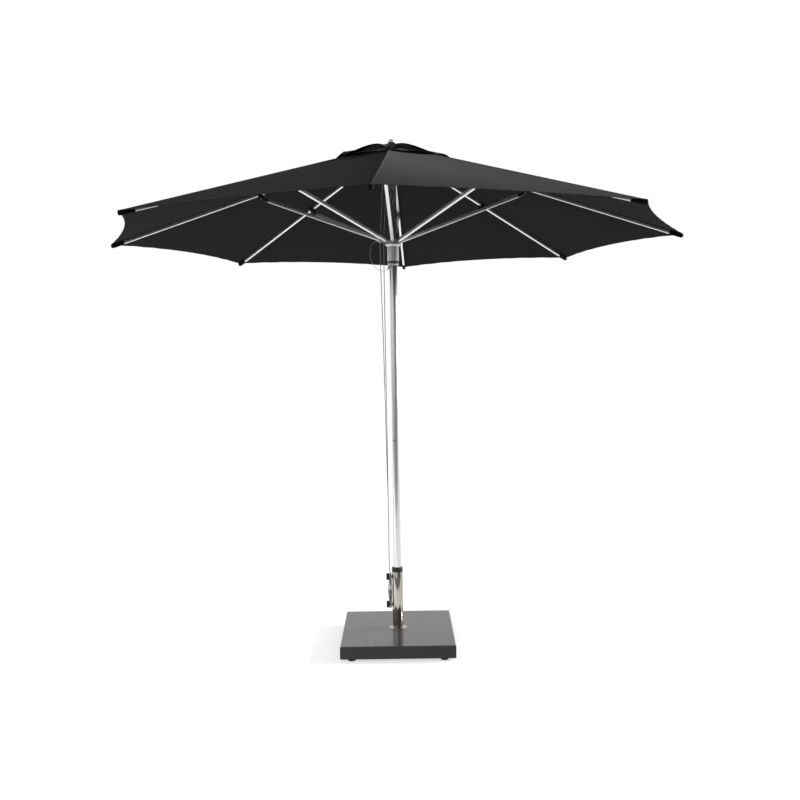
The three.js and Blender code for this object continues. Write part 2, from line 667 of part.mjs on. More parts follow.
buildBase();
buildKnobs();
buildMast();
buildHub();
buildSheave();
buildRunner();
buildFrame();
buildCanopy();
buildHalyard();
buildPin();

export default parasol;
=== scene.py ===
"""The looks of a round garden parasol on a granite base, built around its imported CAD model.

Metres, +Z up, in the CAD model's frame: the origin is on the floor under the middle of the mast.
Each body of the CAD model keeps its place, and every piece made here rides on one of those bodies.
"""
import json
import math

import bpy
from mathutils import Matrix, Vector
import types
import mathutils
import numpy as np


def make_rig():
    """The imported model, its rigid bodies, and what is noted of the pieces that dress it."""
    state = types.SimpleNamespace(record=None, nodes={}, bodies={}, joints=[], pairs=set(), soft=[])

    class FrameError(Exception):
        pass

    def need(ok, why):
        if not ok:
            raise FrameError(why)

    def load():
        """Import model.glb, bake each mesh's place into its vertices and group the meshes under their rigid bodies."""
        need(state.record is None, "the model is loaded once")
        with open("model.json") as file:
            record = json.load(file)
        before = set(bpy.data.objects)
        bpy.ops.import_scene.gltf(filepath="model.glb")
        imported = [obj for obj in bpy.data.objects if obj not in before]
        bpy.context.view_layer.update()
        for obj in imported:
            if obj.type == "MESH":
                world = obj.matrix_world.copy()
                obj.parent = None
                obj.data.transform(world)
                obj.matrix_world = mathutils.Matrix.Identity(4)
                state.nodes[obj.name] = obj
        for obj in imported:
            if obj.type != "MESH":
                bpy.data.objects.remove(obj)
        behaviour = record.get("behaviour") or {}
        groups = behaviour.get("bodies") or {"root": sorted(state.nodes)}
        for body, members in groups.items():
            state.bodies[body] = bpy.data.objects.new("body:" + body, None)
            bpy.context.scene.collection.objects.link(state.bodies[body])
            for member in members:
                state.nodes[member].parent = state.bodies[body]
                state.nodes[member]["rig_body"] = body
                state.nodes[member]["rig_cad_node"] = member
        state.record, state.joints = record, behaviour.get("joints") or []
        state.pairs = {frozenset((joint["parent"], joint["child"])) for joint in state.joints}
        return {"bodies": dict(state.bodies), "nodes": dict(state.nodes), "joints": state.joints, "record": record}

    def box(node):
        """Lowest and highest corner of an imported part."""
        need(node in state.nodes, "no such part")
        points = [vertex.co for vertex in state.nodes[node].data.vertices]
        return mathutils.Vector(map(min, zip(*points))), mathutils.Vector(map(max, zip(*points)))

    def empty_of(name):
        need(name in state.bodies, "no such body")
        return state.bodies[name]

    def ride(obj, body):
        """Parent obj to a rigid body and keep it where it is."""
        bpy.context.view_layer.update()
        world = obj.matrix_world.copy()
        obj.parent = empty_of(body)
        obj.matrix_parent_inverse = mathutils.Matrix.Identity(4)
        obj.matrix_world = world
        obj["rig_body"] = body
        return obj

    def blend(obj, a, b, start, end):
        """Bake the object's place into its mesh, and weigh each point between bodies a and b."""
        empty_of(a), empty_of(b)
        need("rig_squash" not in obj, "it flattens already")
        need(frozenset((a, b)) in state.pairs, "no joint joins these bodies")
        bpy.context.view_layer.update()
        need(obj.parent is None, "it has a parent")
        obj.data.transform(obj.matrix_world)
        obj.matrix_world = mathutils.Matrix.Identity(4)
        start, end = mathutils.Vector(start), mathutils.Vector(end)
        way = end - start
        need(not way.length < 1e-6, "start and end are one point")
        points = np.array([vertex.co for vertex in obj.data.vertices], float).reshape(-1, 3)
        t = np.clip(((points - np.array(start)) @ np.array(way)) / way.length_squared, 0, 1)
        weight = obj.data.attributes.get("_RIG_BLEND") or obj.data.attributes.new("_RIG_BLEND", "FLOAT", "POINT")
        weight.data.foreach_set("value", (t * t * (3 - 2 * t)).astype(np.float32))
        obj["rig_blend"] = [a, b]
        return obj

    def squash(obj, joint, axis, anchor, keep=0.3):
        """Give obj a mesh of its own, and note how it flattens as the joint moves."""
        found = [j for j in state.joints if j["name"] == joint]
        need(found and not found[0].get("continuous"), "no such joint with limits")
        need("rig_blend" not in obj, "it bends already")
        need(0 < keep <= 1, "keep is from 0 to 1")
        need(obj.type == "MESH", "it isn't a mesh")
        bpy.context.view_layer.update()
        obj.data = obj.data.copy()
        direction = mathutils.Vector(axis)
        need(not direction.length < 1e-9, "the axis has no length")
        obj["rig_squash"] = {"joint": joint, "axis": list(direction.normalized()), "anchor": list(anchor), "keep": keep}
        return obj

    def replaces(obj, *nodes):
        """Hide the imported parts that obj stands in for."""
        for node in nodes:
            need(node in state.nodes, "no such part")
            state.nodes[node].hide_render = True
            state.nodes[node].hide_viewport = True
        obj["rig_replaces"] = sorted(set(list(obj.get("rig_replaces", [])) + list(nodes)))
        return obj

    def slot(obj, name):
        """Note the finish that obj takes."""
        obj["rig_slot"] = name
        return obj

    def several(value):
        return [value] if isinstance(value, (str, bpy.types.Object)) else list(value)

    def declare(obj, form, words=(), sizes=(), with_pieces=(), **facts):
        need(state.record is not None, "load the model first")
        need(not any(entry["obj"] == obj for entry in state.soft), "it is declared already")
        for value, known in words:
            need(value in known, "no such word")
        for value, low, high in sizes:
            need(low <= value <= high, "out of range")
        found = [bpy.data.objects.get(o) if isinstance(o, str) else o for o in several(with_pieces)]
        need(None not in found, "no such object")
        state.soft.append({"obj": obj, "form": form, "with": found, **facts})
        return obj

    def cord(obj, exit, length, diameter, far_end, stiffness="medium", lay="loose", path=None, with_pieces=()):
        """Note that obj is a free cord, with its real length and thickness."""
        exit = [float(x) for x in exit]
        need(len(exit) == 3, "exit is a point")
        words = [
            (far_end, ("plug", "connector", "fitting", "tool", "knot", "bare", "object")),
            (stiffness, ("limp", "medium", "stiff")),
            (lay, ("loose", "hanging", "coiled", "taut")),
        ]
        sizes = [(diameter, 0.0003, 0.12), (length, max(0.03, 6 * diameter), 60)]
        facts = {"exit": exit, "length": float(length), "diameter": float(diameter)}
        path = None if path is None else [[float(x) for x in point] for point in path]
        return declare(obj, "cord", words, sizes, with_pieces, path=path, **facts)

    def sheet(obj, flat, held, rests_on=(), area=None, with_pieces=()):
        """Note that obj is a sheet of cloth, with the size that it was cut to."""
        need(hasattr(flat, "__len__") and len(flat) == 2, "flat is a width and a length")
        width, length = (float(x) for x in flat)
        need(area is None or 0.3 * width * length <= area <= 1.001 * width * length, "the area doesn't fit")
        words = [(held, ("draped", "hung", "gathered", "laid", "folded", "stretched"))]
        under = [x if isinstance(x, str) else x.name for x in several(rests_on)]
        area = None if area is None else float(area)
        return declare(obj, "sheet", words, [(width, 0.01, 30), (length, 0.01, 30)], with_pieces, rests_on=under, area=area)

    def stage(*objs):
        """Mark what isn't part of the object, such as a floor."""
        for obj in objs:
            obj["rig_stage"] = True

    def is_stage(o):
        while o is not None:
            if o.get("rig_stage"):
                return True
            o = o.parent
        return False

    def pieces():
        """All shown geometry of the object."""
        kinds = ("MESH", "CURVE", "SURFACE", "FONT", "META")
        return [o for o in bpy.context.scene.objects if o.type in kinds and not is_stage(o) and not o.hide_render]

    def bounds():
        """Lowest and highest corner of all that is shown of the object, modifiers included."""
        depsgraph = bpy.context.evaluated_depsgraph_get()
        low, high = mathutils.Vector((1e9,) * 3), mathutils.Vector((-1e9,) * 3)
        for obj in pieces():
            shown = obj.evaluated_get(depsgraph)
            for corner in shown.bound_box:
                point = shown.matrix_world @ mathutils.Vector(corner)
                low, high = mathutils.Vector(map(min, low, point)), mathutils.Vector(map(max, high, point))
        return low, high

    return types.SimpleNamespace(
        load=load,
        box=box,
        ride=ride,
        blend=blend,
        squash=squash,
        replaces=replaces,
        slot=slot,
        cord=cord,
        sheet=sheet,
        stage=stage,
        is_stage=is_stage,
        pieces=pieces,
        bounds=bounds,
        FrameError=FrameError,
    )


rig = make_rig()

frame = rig.load()
cad_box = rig.bounds()

# ---- sizes

RIBS = 8
SECTOR = math.tau / RIBS
JOINTS = {joint["name"]: joint for joint in frame["record"]["behaviour"]["joints"]}

# The folding frame, from the joints of the model
RIB_FOLDS = ["canopy_fold"] + [f"rib_{rib}_fold" for rib in range(2, RIBS + 1)]
RIB_PIVOTS = [Vector(JOINTS[name]["pos_m"]) for name in RIB_FOLDS]
RIB_AZIMUTHS = [math.atan2(pivot.y, pivot.x) for pivot in RIB_PIVOTS]
PIVOT_RADIUS = math.hypot(RIB_PIVOTS[0].x, RIB_PIVOTS[0].y)
HUB_Z = RIB_PIVOTS[0].z
STRUT_PIVOT = Vector(JOINTS["strut_1_fold"]["pos_m"])
JOINT_RADIUS = math.hypot(STRUT_PIVOT.x, STRUT_PIVOT.y)
JOINT_Z = STRUT_PIVOT.z
RUNNER_Z = 2 * JOINT_Z - HUB_Z
LINK_SLOPE = math.atan2(HUB_Z - JOINT_Z, JOINT_RADIUS - PIVOT_RADIUS)
LINK = math.hypot(HUB_Z - JOINT_Z, JOINT_RADIUS - PIVOT_RADIUS)
RIB_SLOPE = math.radians(17.95)
JOINT_REACH = LINK * math.cos(LINK_SLOPE - RIB_SLOPE)
JOINT_DROP = LINK * math.sin(LINK_SLOPE - RIB_SLOPE)
RUNNER_TRAVEL = 2 * LINK * (1 - math.sin(LINK_SLOPE))

RIB = {"width": 0.013, "height": 0.017, "wall": 0.0014, "start": 0.018, "tip": 1.462}
RIB_LENGTH = (RIB["tip"] - PIVOT_RADIUS) / math.cos(RIB_SLOPE)
STRUT = {"width": 0.015, "height": 0.016, "wall": 0.0014, "start": 0.022, "end": 0.018}
TONGUE = {"width": 0.009, "height": 0.013}
BRACKET = {"half": 0.011, "wall": 0.0022, "inner": 0.0066}
RIVET = 0.0025
RING_WIRE = 0.0015

# Hub and runner
CROWN = {"radius": 0.040, "shut": 0.017, "open": 0.012}
CROWN_SLOT = {"width": 0.010, "start": 0.0263, "shut": 0.0085}
CORD_AZIMUTH = RIB_AZIMUTHS[0] - 1.5 * SECTOR
PIN_AZIMUTH = RIB_AZIMUTHS[0] - 0.5 * SECTOR
SHEAVE = {"centre": 0.037, "z": 2.480, "groove": 0.007, "flange": 0.010, "width": 0.005, "axle": 0.002}
PIN_Z = 1.959
GAP = 0.0003

# Mast and base
MAST = {"radius": 0.020, "wall": 0.002, "bottom": 0.100, "top": 2.544}
SLAB = {"side": 0.575, "bottom": 0.010, "top": 0.075, "bevel": 0.004}
FOOT = {"radius": 0.020, "across": 0.230, "along": 0.262}
FLANGE = {"radius": 0.046, "bottom": 0.0753, "top": 0.0803}
TUBE = {"radius": 0.028, "bore": 0.0255, "bottom": 0.0806, "top": 0.375}
KNOB_HEIGHTS = {"upper": 0.347, "lower": 0.200}
KNOB = {"radius": 0.0165, "lobe": 0.0015, "lobes": 6, "inner": 0.041, "outer": 0.058}
KNOB_SCREW = 0.004

# Cloth
CANOPY = {"tip": 1.470, "vent": 0.205, "scallop": 0.046, "thickness": 0.0012, "sag": 0.010}
VENT = {"rim": 0.318, "inner": 0.042, "hole": 0.012, "patch": 0.060, "crown_z": 2.5825, "rim_z": 2.4759}
# How high the cap's rim stands in each gore, and the share of the way between its ribs where it is highest
VENT_RUFFLES = [(0.066, 0.32), (0.019, 0.50), (0.035, 0.55), (0.036, 0.45),
                (0.034, 0.50), (0.036, 0.55), (0.058, 0.50), (0.068, 0.66)]
VENT_THICKNESS = 0.0012
CLOTH_LIFT = 0.0014  # the gap between a rib and the cloth over it
SEAM_FOLD = {"reach": 0.006, "thickness": 0.0009}
HEM_FOLD = {"reach": 0.0205, "thickness": 0.0007}
CAP_HEM = {"reach": 0.0125, "thickness": 0.0008}
HEM_START = 0.0004
POCKET = {"back": 0.066, "front": 0.006, "half": 0.0098, "up": 0.0097, "down": 0.0104, "lift": 0.0004}
# The share of its width that is left of the cloth beside a rib when the parasol is folded
FOLDED_CANOPY = 0.070
FOLDED_VENT = 0.20

# Cords
HALYARD = 0.004
LANYARD = 0.002
HALYARD_SPLIT_Z = 1.0


# ---- places and camera

def shift(*offset):
    return Matrix.Translation(offset)


def turn_about(axis, angle):
    return Matrix.Rotation(angle, 4, axis)


QUARTER = math.radians(90)
LYING = turn_about("X", QUARTER)  # takes an outline's plane from XY to XZ
FACING_LEFT = turn_about("Y", -QUARTER)  # takes +Z to -X


def circle(radius, count, start=0.0, arc=math.tau, ends=False):
    """Points along an arc, without its last one unless ends is set."""
    angles = [start + step / count * arc for step in range(count + ends)]
    return [(radius * math.cos(angle), radius * math.sin(angle)) for angle in angles]


def outward(azimuth):
    return Vector((math.cos(azimuth), math.sin(azimuth), 0))


def new_object(name, data, place=None):
    thing = bpy.data.objects.new(name, data)
    thing.matrix_world = place or Matrix.Identity(4)
    bpy.context.scene.collection.objects.link(thing)
    return thing


def make_camera():
    """Level along +Y, then tipped down a little and turned round its own axis."""
    pitch, yaw, roll = (math.radians(angle) for angle in (-3.40, -0.06, -0.75))
    data = bpy.data.cameras.new("camera")
    data.sensor_width = 36.0
    data.lens = 38.26
    turn = turn_about("Z", yaw) @ turn_about("X", QUARTER + pitch) @ turn_about("Z", roll)
    bpy.context.scene.camera = new_object("camera", data, shift(0.021, -4.400, 1.536) @ turn)


make_camera()


# ---- shader helpers

class Graph:
    """A short way to write shader nodes: each call makes a node and returns the output that is used."""

    def __init__(self, tree):
        self.tree = tree

    def node(self, kind, inputs=None, **settings):
        made = self.tree.nodes.new(kind)
        for name, value in settings.items():
            setattr(made, name, value)
        for key, value in (inputs or {}).items():
            if isinstance(value, bpy.types.NodeSocket):
                self.tree.links.new(value, made.inputs[key])
            else:
                made.inputs[key].default_value = value
        return made

    def coords(self, space="Object", stretch=(1, 1, 1)):
        source = self.node("ShaderNodeTexCoord").outputs[space]
        return self.node("ShaderNodeMapping", {"Vector": source, "Scale": stretch}).outputs[0]

    def noise(self, vector, scale, detail=3.0, roughness=0.5):
        inputs = {"Vector": vector, "Scale": scale, "Detail": detail, "Roughness": roughness}
        return self.node("ShaderNodeTexNoise", inputs).outputs["Fac"]

    def cells(self, vector, scale):
        return self.node("ShaderNodeTexVoronoi", {"Vector": vector, "Scale": scale}).outputs["Color"]

    def maths(self, operation, first, second=0.0, third=0.0):
        inputs = {0: first, 1: second, 2: third}
        return self.node("ShaderNodeMath", inputs, operation=operation).outputs[0]

    def times(self, first, second):
        return self.maths("MULTIPLY", first, second)

    def span(self, value, low, high, start=0.3, end=0.7):
        """The value moved from start..end to low..high."""
        inputs = {"Value": value, "From Min": start, "From Max": end, "To Min": low, "To Max": high}
        return self.node("ShaderNodeMapRange", inputs).outputs[0]

    def blend(self, share, first, second):
        inputs = {0: share, 6: first, 7: second}
        return self.node("ShaderNodeMix", inputs, data_type="RGBA").outputs[2]

    def ramp(self, value, stops, interpolation="LINEAR"):
        made = self.node("ShaderNodeValToRGB", {0: value})
        made.color_ramp.interpolation = interpolation
        elements = made.color_ramp.elements
        while len(elements) < len(stops):
            elements.new(0.5)
        for element, (place, colour) in zip(elements, stops):
            element.position = place
            element.color = colour
        return made.outputs[0]

    def bump(self, height, distance, strength=1.0, below=None):
        inputs = {"Height": height, "Distance": distance, "Strength": strength}
        if below is not None:
            inputs["Normal"] = below
        return self.node("ShaderNodeBump", inputs).outputs[0]


def tinted(colour, share):
    """A colour made darker, with its alpha kept at 1."""
    return tuple(share * channel for channel in colour[:3]) + (1.0,)


def grey(value, warmth=0.0):
    """A linear grey, a little warmer where warmth is above 0."""
    return (value * (1 + warmth), value, value * (1 - warmth), 1.0)


def material(name, metallic=0.0, **sockets):
    """A new material, its graph and its surface shader. sockets are set on the shader itself."""
    made = bpy.data.materials.new(name)
    made.use_nodes = True
    surface = made.node_tree.nodes["Principled BSDF"]
    surface.inputs["Metallic"].default_value = metallic
    for socket, value in sockets.items():
        surface.inputs[socket.replace("_", " ")].default_value = value
    graph = Graph(made.node_tree)

    def connect(socket, output):
        made.node_tree.links.new(output, surface.inputs[socket])

    return made, graph, connect


# ---- materials

def granite(name, polished):
    """Dark fine-grained stone: black and grey grains with a few pale ones. On the polished top the colour is made
    lighter and bluer, a painted reflection of the pale sky.
    """
    made, graph, connect = material(name, IOR=1.58 if polished else 1.40)
    place = graph.coords()
    grains = graph.cells(place, 520.0)
    tone = graph.node("ShaderNodeSeparateColor", {0: grains}).outputs[0]
    # For the polished top, dark and blue are raised: its lighter, bluer colour is a painted reflection of the sky, not
    # the stone's own tone.
    dark = 0.060 if polished else 0.018
    blue = 1.12 if polished else 0.98

    def stone(value):
        return (value, value * 0.985, value * blue, 1.0)

    steps = ((0.0, 0.45), (0.45, 1.0), (0.8, 1.9), (0.97, 3.2))
    grain_colour = graph.ramp(tone, [(place, stone(dark * value)) for place, value in steps], "CONSTANT")
    clouds = graph.span(graph.noise(place, 14.0, 5.0, 0.6), 0.0, 1.0)
    colour = graph.blend(0.35, grain_colour, graph.blend(clouds, stone(dark * 0.7), stone(dark * 1.6)))
    connect("Base Color", colour)
    fine = graph.noise(place, 900.0, 2.0)
    if polished:
        connect("Roughness", graph.span(fine, 0.07, 0.13))
        connect("Normal", graph.bump(graph.noise(place, 60.0, 3.0), 0.0001, 0.15))
    else:
        connect("Roughness", graph.span(fine, 0.30, 0.48))
        connect("Normal", graph.bump(fine, 0.0003, 0.35))
    return made


def drawn_metal(name, colour, stretch, low, high, **sockets):
    """Metal with fine lines along one way, such as an extrusion or a polished tube."""
    made, graph, connect = material(name, 1.0, **sockets)
    lines = graph.noise(graph.coords(stretch=stretch), 1.0, 4.0, 0.65)
    clouds = graph.noise(graph.coords(), 9.0, 3.0, 0.6)
    connect("Base Color", graph.blend(graph.span(clouds, 0.0, 1.0), tinted(colour, 0.90), colour))
    rubbed = graph.maths("ADD", lines, graph.times(clouds, 0.3))
    connect("Roughness", graph.span(rubbed, low, high, 0.4, 0.9))
    connect("Normal", graph.bump(lines, 0.00003, 0.10))
    return made


def cast_metal(name, colour, low, high):
    """Die-cast or zinc-plated metal, lightly mottled."""
    made, graph, connect = material(name, 1.0)
    place = graph.coords()
    mottle = graph.noise(place, 260.0, 4.0, 0.6)
    clouds = graph.span(graph.noise(place, 40.0), 0.0, 1.0)
    connect("Base Color", graph.blend(clouds, tinted(colour, 0.82), colour))
    connect("Roughness", graph.span(mottle, low, high))
    connect("Normal", graph.bump(mottle, 0.0002, 0.3))
    return made


def moulded(name, tone, low, high, grain=700.0, **sockets):
    """Black plastic or rubber with a fine moulded grain, paler where it is worn."""
    made, graph, connect = material(name, **sockets)
    place = graph.coords()
    wear = graph.span(graph.noise(place, 55.0, 4.0, 0.6), 0.0, 1.0, 0.45, 0.8)
    connect("Base Color", graph.blend(wear, grey(tone), grey(tone * 1.9)))
    pores = graph.noise(place, grain, 2.0)
    connect("Roughness", graph.span(pores, low, high))
    connect("Normal", graph.bump(pores, 0.0002, 0.3))
    return made


def stitch_row(graph, across, along, place):
    """1 on the stitches of a straight row at `place` across the cloth, and 0 elsewhere."""
    pitch, half, stitch_share = 0.0034, 0.00035, 0.72
    off = graph.maths("ABSOLUTE", graph.maths("SUBTRACT", across, place))
    on_line = graph.maths("LESS_THAN", off, half)
    part = graph.maths("FRACT", graph.maths("DIVIDE", along, pitch))
    return graph.times(on_line, graph.maths("LESS_THAN", part, stitch_share))


def canvas(name, tone, rows=(), seam_rows=()):
    """Woven polyester. Its UV is in metres: U from the seam over the rib, V from the hem. rows are
    stitched along the hem and seam_rows along the seam."""
    made, graph, connect = material(name, Specular_IOR_Level=0.01)
    cloth = graph.node("ShaderNodeTexCoord").outputs["UV"]
    parts = graph.node("ShaderNodeSeparateXYZ", {0: cloth})
    across, along = parts.outputs[0], parts.outputs[1]
    thread = math.tau / 0.0009
    warp = graph.maths("SINE", graph.times(across, thread))
    weft = graph.maths("SINE", graph.times(along, thread))
    weave = graph.times(warp, weft)
    body = graph.coords()
    slubs = graph.noise(graph.coords("UV", (380.0, 60.0, 1.0)), 1.0, 3.0, 0.6)
    clouds = graph.noise(body, 2.2, 4.0, 0.55)
    heather = graph.maths("ADD", graph.times(slubs, 0.5), graph.times(clouds, 0.5))
    dark, pale = grey(tone * 0.88, 0.01), grey(tone * 1.12, 0.01)
    colour = graph.blend(graph.span(heather, 0.0, 1.0, 0.35, 0.65), dark, pale)
    stitches = None
    all_rows = [stitch_row(graph, along, across, at) for at in rows]
    all_rows += [stitch_row(graph, across, along, at) for at in seam_rows]
    for one in all_rows:
        stitches = one if stitches is None else graph.maths("MAXIMUM", stitches, one)
    height = graph.times(weave, 0.12)
    if stitches is not None:
        colour = graph.blend(stitches, colour, grey(tone * 1.7))
        height = graph.maths("ADD", height, stitches)
    connect("Base Color", colour)
    connect("Roughness", graph.span(clouds, 0.78, 0.92))
    soft = graph.bump(graph.noise(body, 11.0, 3.0), 0.004, 0.10)
    connect("Normal", graph.bump(height, 0.0003, 0.5, soft))
    return made


def braided(name, tone, metallic, pitch):
    """Braid over a cord, with painted shade in the grooves between its strands. Its UV is in metres: U round the cord
    and V along it.
    """
    made, graph, connect = material(name, metallic)
    cloth = graph.node("ShaderNodeTexCoord").outputs["UV"]
    parts = graph.node("ShaderNodeSeparateXYZ", {0: cloth})
    around = graph.times(parts.outputs[0], math.tau / pitch)
    along = graph.times(parts.outputs[1], math.tau / pitch)
    left = graph.maths("SINE", graph.maths("ADD", around, along))
    right = graph.maths("SINE", graph.maths("SUBTRACT", around, along))
    plait = graph.times(left, right)
    # Painted shade: the colour is darker in the grooves between the strands and paler on their crests.
    raised = graph.span(plait, 0.0, 1.0, -0.6, 0.6)
    connect("Base Color", graph.blend(raised, grey(tone * 0.7), grey(tone * 1.15)))
    connect("Roughness", graph.span(plait, 0.5, 0.8, -1.0, 1.0))
    connect("Normal", graph.bump(plait, 0.0004, 0.6))
    return made


# The top's lighter, bluer colour is a painted reflection of the sky.
GRANITE_TOP = granite("granite_polished_painted_reflection", True)
GRANITE_SIDE = granite("granite_honed", False)
STAINLESS = drawn_metal("stainless_polished", (0.47, 0.435, 0.39, 1), (900, 900, 9), 0.05, 0.12)
MAST_METAL = drawn_metal("mast_anodised", (0.72, 0.72, 0.73, 1), (1400, 1400, 12), 0.20, 0.30)
FRAME_METAL = drawn_metal("frame_anodised", (0.86, 0.86, 0.87, 1), (12, 1400, 1400), 0.30, 0.42)
CAST_METAL = cast_metal("cast_aluminium", (0.62, 0.62, 0.63, 1), 0.28, 0.42)
ZINC = cast_metal("zinc_steel", (0.60, 0.60, 0.59, 1), 0.24, 0.38)
PLASTIC = moulded("black_plastic", 0.009, 0.32, 0.48, Specular_IOR_Level=0.35)
RUBBER = moulded("rubber", 0.010, 0.65, 0.85, 500.0)
CANVAS = canvas("canopy_canvas", 0.018, rows=(0.004, 0.0185), seam_rows=(0.0022, 0.0046))
LINING = canvas("canopy_underside", 0.0160, rows=(0.004, 0.0185), seam_rows=(0.0022, 0.0046))
CAP_CANVAS = canvas("vent_canvas", 0.008, rows=(0.003, 0.0115))
POCKET_CLOTH = canvas("pocket_webbing", 0.009, rows=(0.004,))
CORD = braided("cord_braid", 0.30, 0.0, 0.0022)
WIRE = braided("wire_strand", 0.55, 0.9, 0.0012)

# The material slot of the model that each material stands for
SLOTS = {
    GRANITE_TOP: "granite",
    STAINLESS: "stainless",
    MAST_METAL: "mast_aluminium",
    FRAME_METAL: "frame_aluminium",
    CAST_METAL: "cast_aluminium",
    ZINC: "zinc_steel",
    PLASTIC: "black_plastic",
    RUBBER: "rubber",
    CANVAS: "canopy_cloth",
    CAP_CANVAS: "canopy_cloth",
    POCKET_CLOTH: "canopy_cloth",
}


# ---- mesh helpers

def smooth(mesh, sharp=35.0):
    mesh.polygons.foreach_set("use_smooth", [True] * len(mesh.polygons))
    mesh.set_sharp_from_angle(angle=math.radians(sharp))


def mesh_of(name, vertices, faces, materials, corner_uvs=None, tones=None, sharp=35.0):
    """A mesh. corner_uvs holds a list of UVs for each face, and tones each face's material number."""
    mesh = bpy.data.meshes.new(name)
    mesh.from_pydata([tuple(vertex) for vertex in vertices], [], faces)
    for each in materials if isinstance(materials, (list, tuple)) else [materials]:
        mesh.materials.append(each)
    if tones:
        mesh.polygons.foreach_set("material_index", tones)
    if corner_uvs:
        flat = [value for face in corner_uvs for uv in face for value in uv]
        mesh.uv_layers.new(name="UVMap").data.foreach_set("uv", flat)
    smooth(mesh, sharp)
    return mesh


def quad(low, high, side, sides):
    """One face of a band between two rings of vertices that start at low and high."""
    after = (side + 1) % sides
    return [low + side, low + after, high + after, high + side]


def quad_uvs(side, width, low, high):
    return [(side * width, low), ((side + 1) * width, low), ((side + 1) * width, high), (side * width, high)]


def settle(thing):
    """Applies a piece's modifiers, so that its mesh is final."""
    bpy.context.view_layer.update()
    shape = thing.evaluated_get(bpy.context.evaluated_depsgraph_get())
    mesh = bpy.data.meshes.new_from_object(shape)
    thing.modifiers.clear()
    thing.data = mesh
    smooth(mesh)
    return thing


def bevel(thing, width, segments=2, angle=30.0):
    """Rounds the sharp edges of a piece."""
    modifier = thing.modifiers.new("edges", "BEVEL")
    modifier.width = width
    modifier.segments = segments
    modifier.limit_method = "ANGLE"
    modifier.angle_limit = math.radians(angle)
    modifier.use_clamp_overlap = True
    return settle(thing)


def carve(thing, cutters, operation="DIFFERENCE"):
    """Cuts the cutters out of a piece, or joins them to it, and removes them."""
    for cutter in cutters:
        modifier = thing.modifiers.new("carve", "BOOLEAN")
        modifier.operation = operation
        modifier.solver = "EXACT"
        modifier.object = cutter
    settle(thing)
    for cutter in cutters:
        bpy.data.objects.remove(cutter)
    return thing


def fillet(profile, radius, steps=3, closed=True):
    """A profile with its corners rounded."""
    count = len(profile)
    rounded = []
    for index, point in enumerate(profile):
        here = Vector(point)
        if not closed and index in (0, count - 1):
            rounded.append(here)
            continue
        before = Vector(profile[index - 1]) - here
        after = Vector(profile[(index + 1) % count]) - here
        reach = min(radius, before.length * 0.45, after.length * 0.45)
        start = here + before.normalized() * reach
        end = here + after.normalized() * reach
        for step in range(steps + 1):
            share = step / steps
            rounded.append(start * (1 - share) ** 2 + here * 2 * share * (1 - share) + end * share ** 2)
    return rounded


def turned(name, profile, metal, sides=96, closed=True, place=None):
    """A piece turned on the Z axis. Its profile holds (radius, z) points, closed on itself, or open
    where it starts and ends on the axis."""
    points = [Vector(point) for point in profile]
    count = len(points)
    vertices = []
    rings = []
    for point in points:
        if point.x < 1e-7:
            rings.append([len(vertices)] * sides)
            vertices.append((0, 0, point.y))
            continue
        rings.append(list(range(len(vertices), len(vertices) + sides)))
        vertices += [(x, y, point.y) for x, y in circle(point.x, sides)]
    faces, corner_uvs = [], []
    travel = 0.0
    for index in range(count if closed else count - 1):
        low, high = rings[index], rings[(index + 1) % count]
        step = (points[(index + 1) % count] - points[index]).length
        width = math.tau * max(points[index].x, points[(index + 1) % count].x) / sides
        for side in range(sides):
            after = (side + 1) % sides
            corners = [low[side], low[after], high[after], high[side]]
            uvs = quad_uvs(side, width, travel, travel + step)
            kept = [n for n in range(4) if corners[n] not in corners[:n]]
            if len(kept) > 2:
                faces.append([corners[n] for n in kept])
                corner_uvs.append([uvs[n] for n in kept])
        travel += step
    mesh = mesh_of(name, vertices, faces, metal, corner_uvs)
    return new_object(name, mesh, place)


def rod(name, start, end, radius, metal, sides=48, edge=0.0003):
    """A round rod between two points, with slightly rounded ends."""
    start, end = Vector(start), Vector(end)
    length = (end - start).length
    profile = [(0, 0), (radius, 0), (radius, length), (0, length)]
    turn = (end - start).to_track_quat("Z", "Y").to_matrix().to_4x4()
    return turned(name, fillet(profile, edge, 2, False), metal, sides, False, shift(*start) @ turn)


def ring_section(inner, outer, low, high):
    """The profile of a plain ring."""
    return [(inner, low), (outer, low), (outer, high), (inner, high)]


def prism(name, outline, low, high, metal, place=None, round_edges=0.0, segments=2):
    """An outline in the XY plane, drawn out along Z."""
    count = len(outline)
    vertices = [(point[0], point[1], z) for z in (low, high) for point in outline]
    faces = [list(range(count))[::-1], list(range(count, 2 * count))]
    faces += [quad(0, count, side, count) for side in range(count)]
    area = sum(outline[i - 1][0] * outline[i][1] - outline[i][0] * outline[i - 1][1] for i in range(count))
    if area < 0:
        faces = [face[::-1] for face in faces]
    thing = new_object(name, mesh_of(name, vertices, faces, metal), place)
    return bevel(thing, round_edges, segments) if round_edges else thing


def rectangle(width, height, radius=0.0, steps=3):
    corners = ring_section(-width / 2, width / 2, -height / 2, height / 2)
    return fillet(corners, radius, steps) if radius else [Vector(corner) for corner in corners]


def cutter(low, high, turn=0.0):
    """A block between two corners, turned round the mast, to cut with."""
    size = [high[axis] - low[axis] for axis in range(3)]
    middle = Vector((low[0] + size[0] / 2, low[1] + size[1] / 2, low[2]))
    place = turn_about("Z", turn) @ shift(*middle)
    return prism("cutter", rectangle(size[0], size[1]), 0, size[2], CAST_METAL, place)


def torus(name, radius, wire, z, metal):
    profile = [(radius + out, rise) for out, rise in circle(wire, 12)]
    return turned(name, profile, metal, place=shift(0, 0, z))


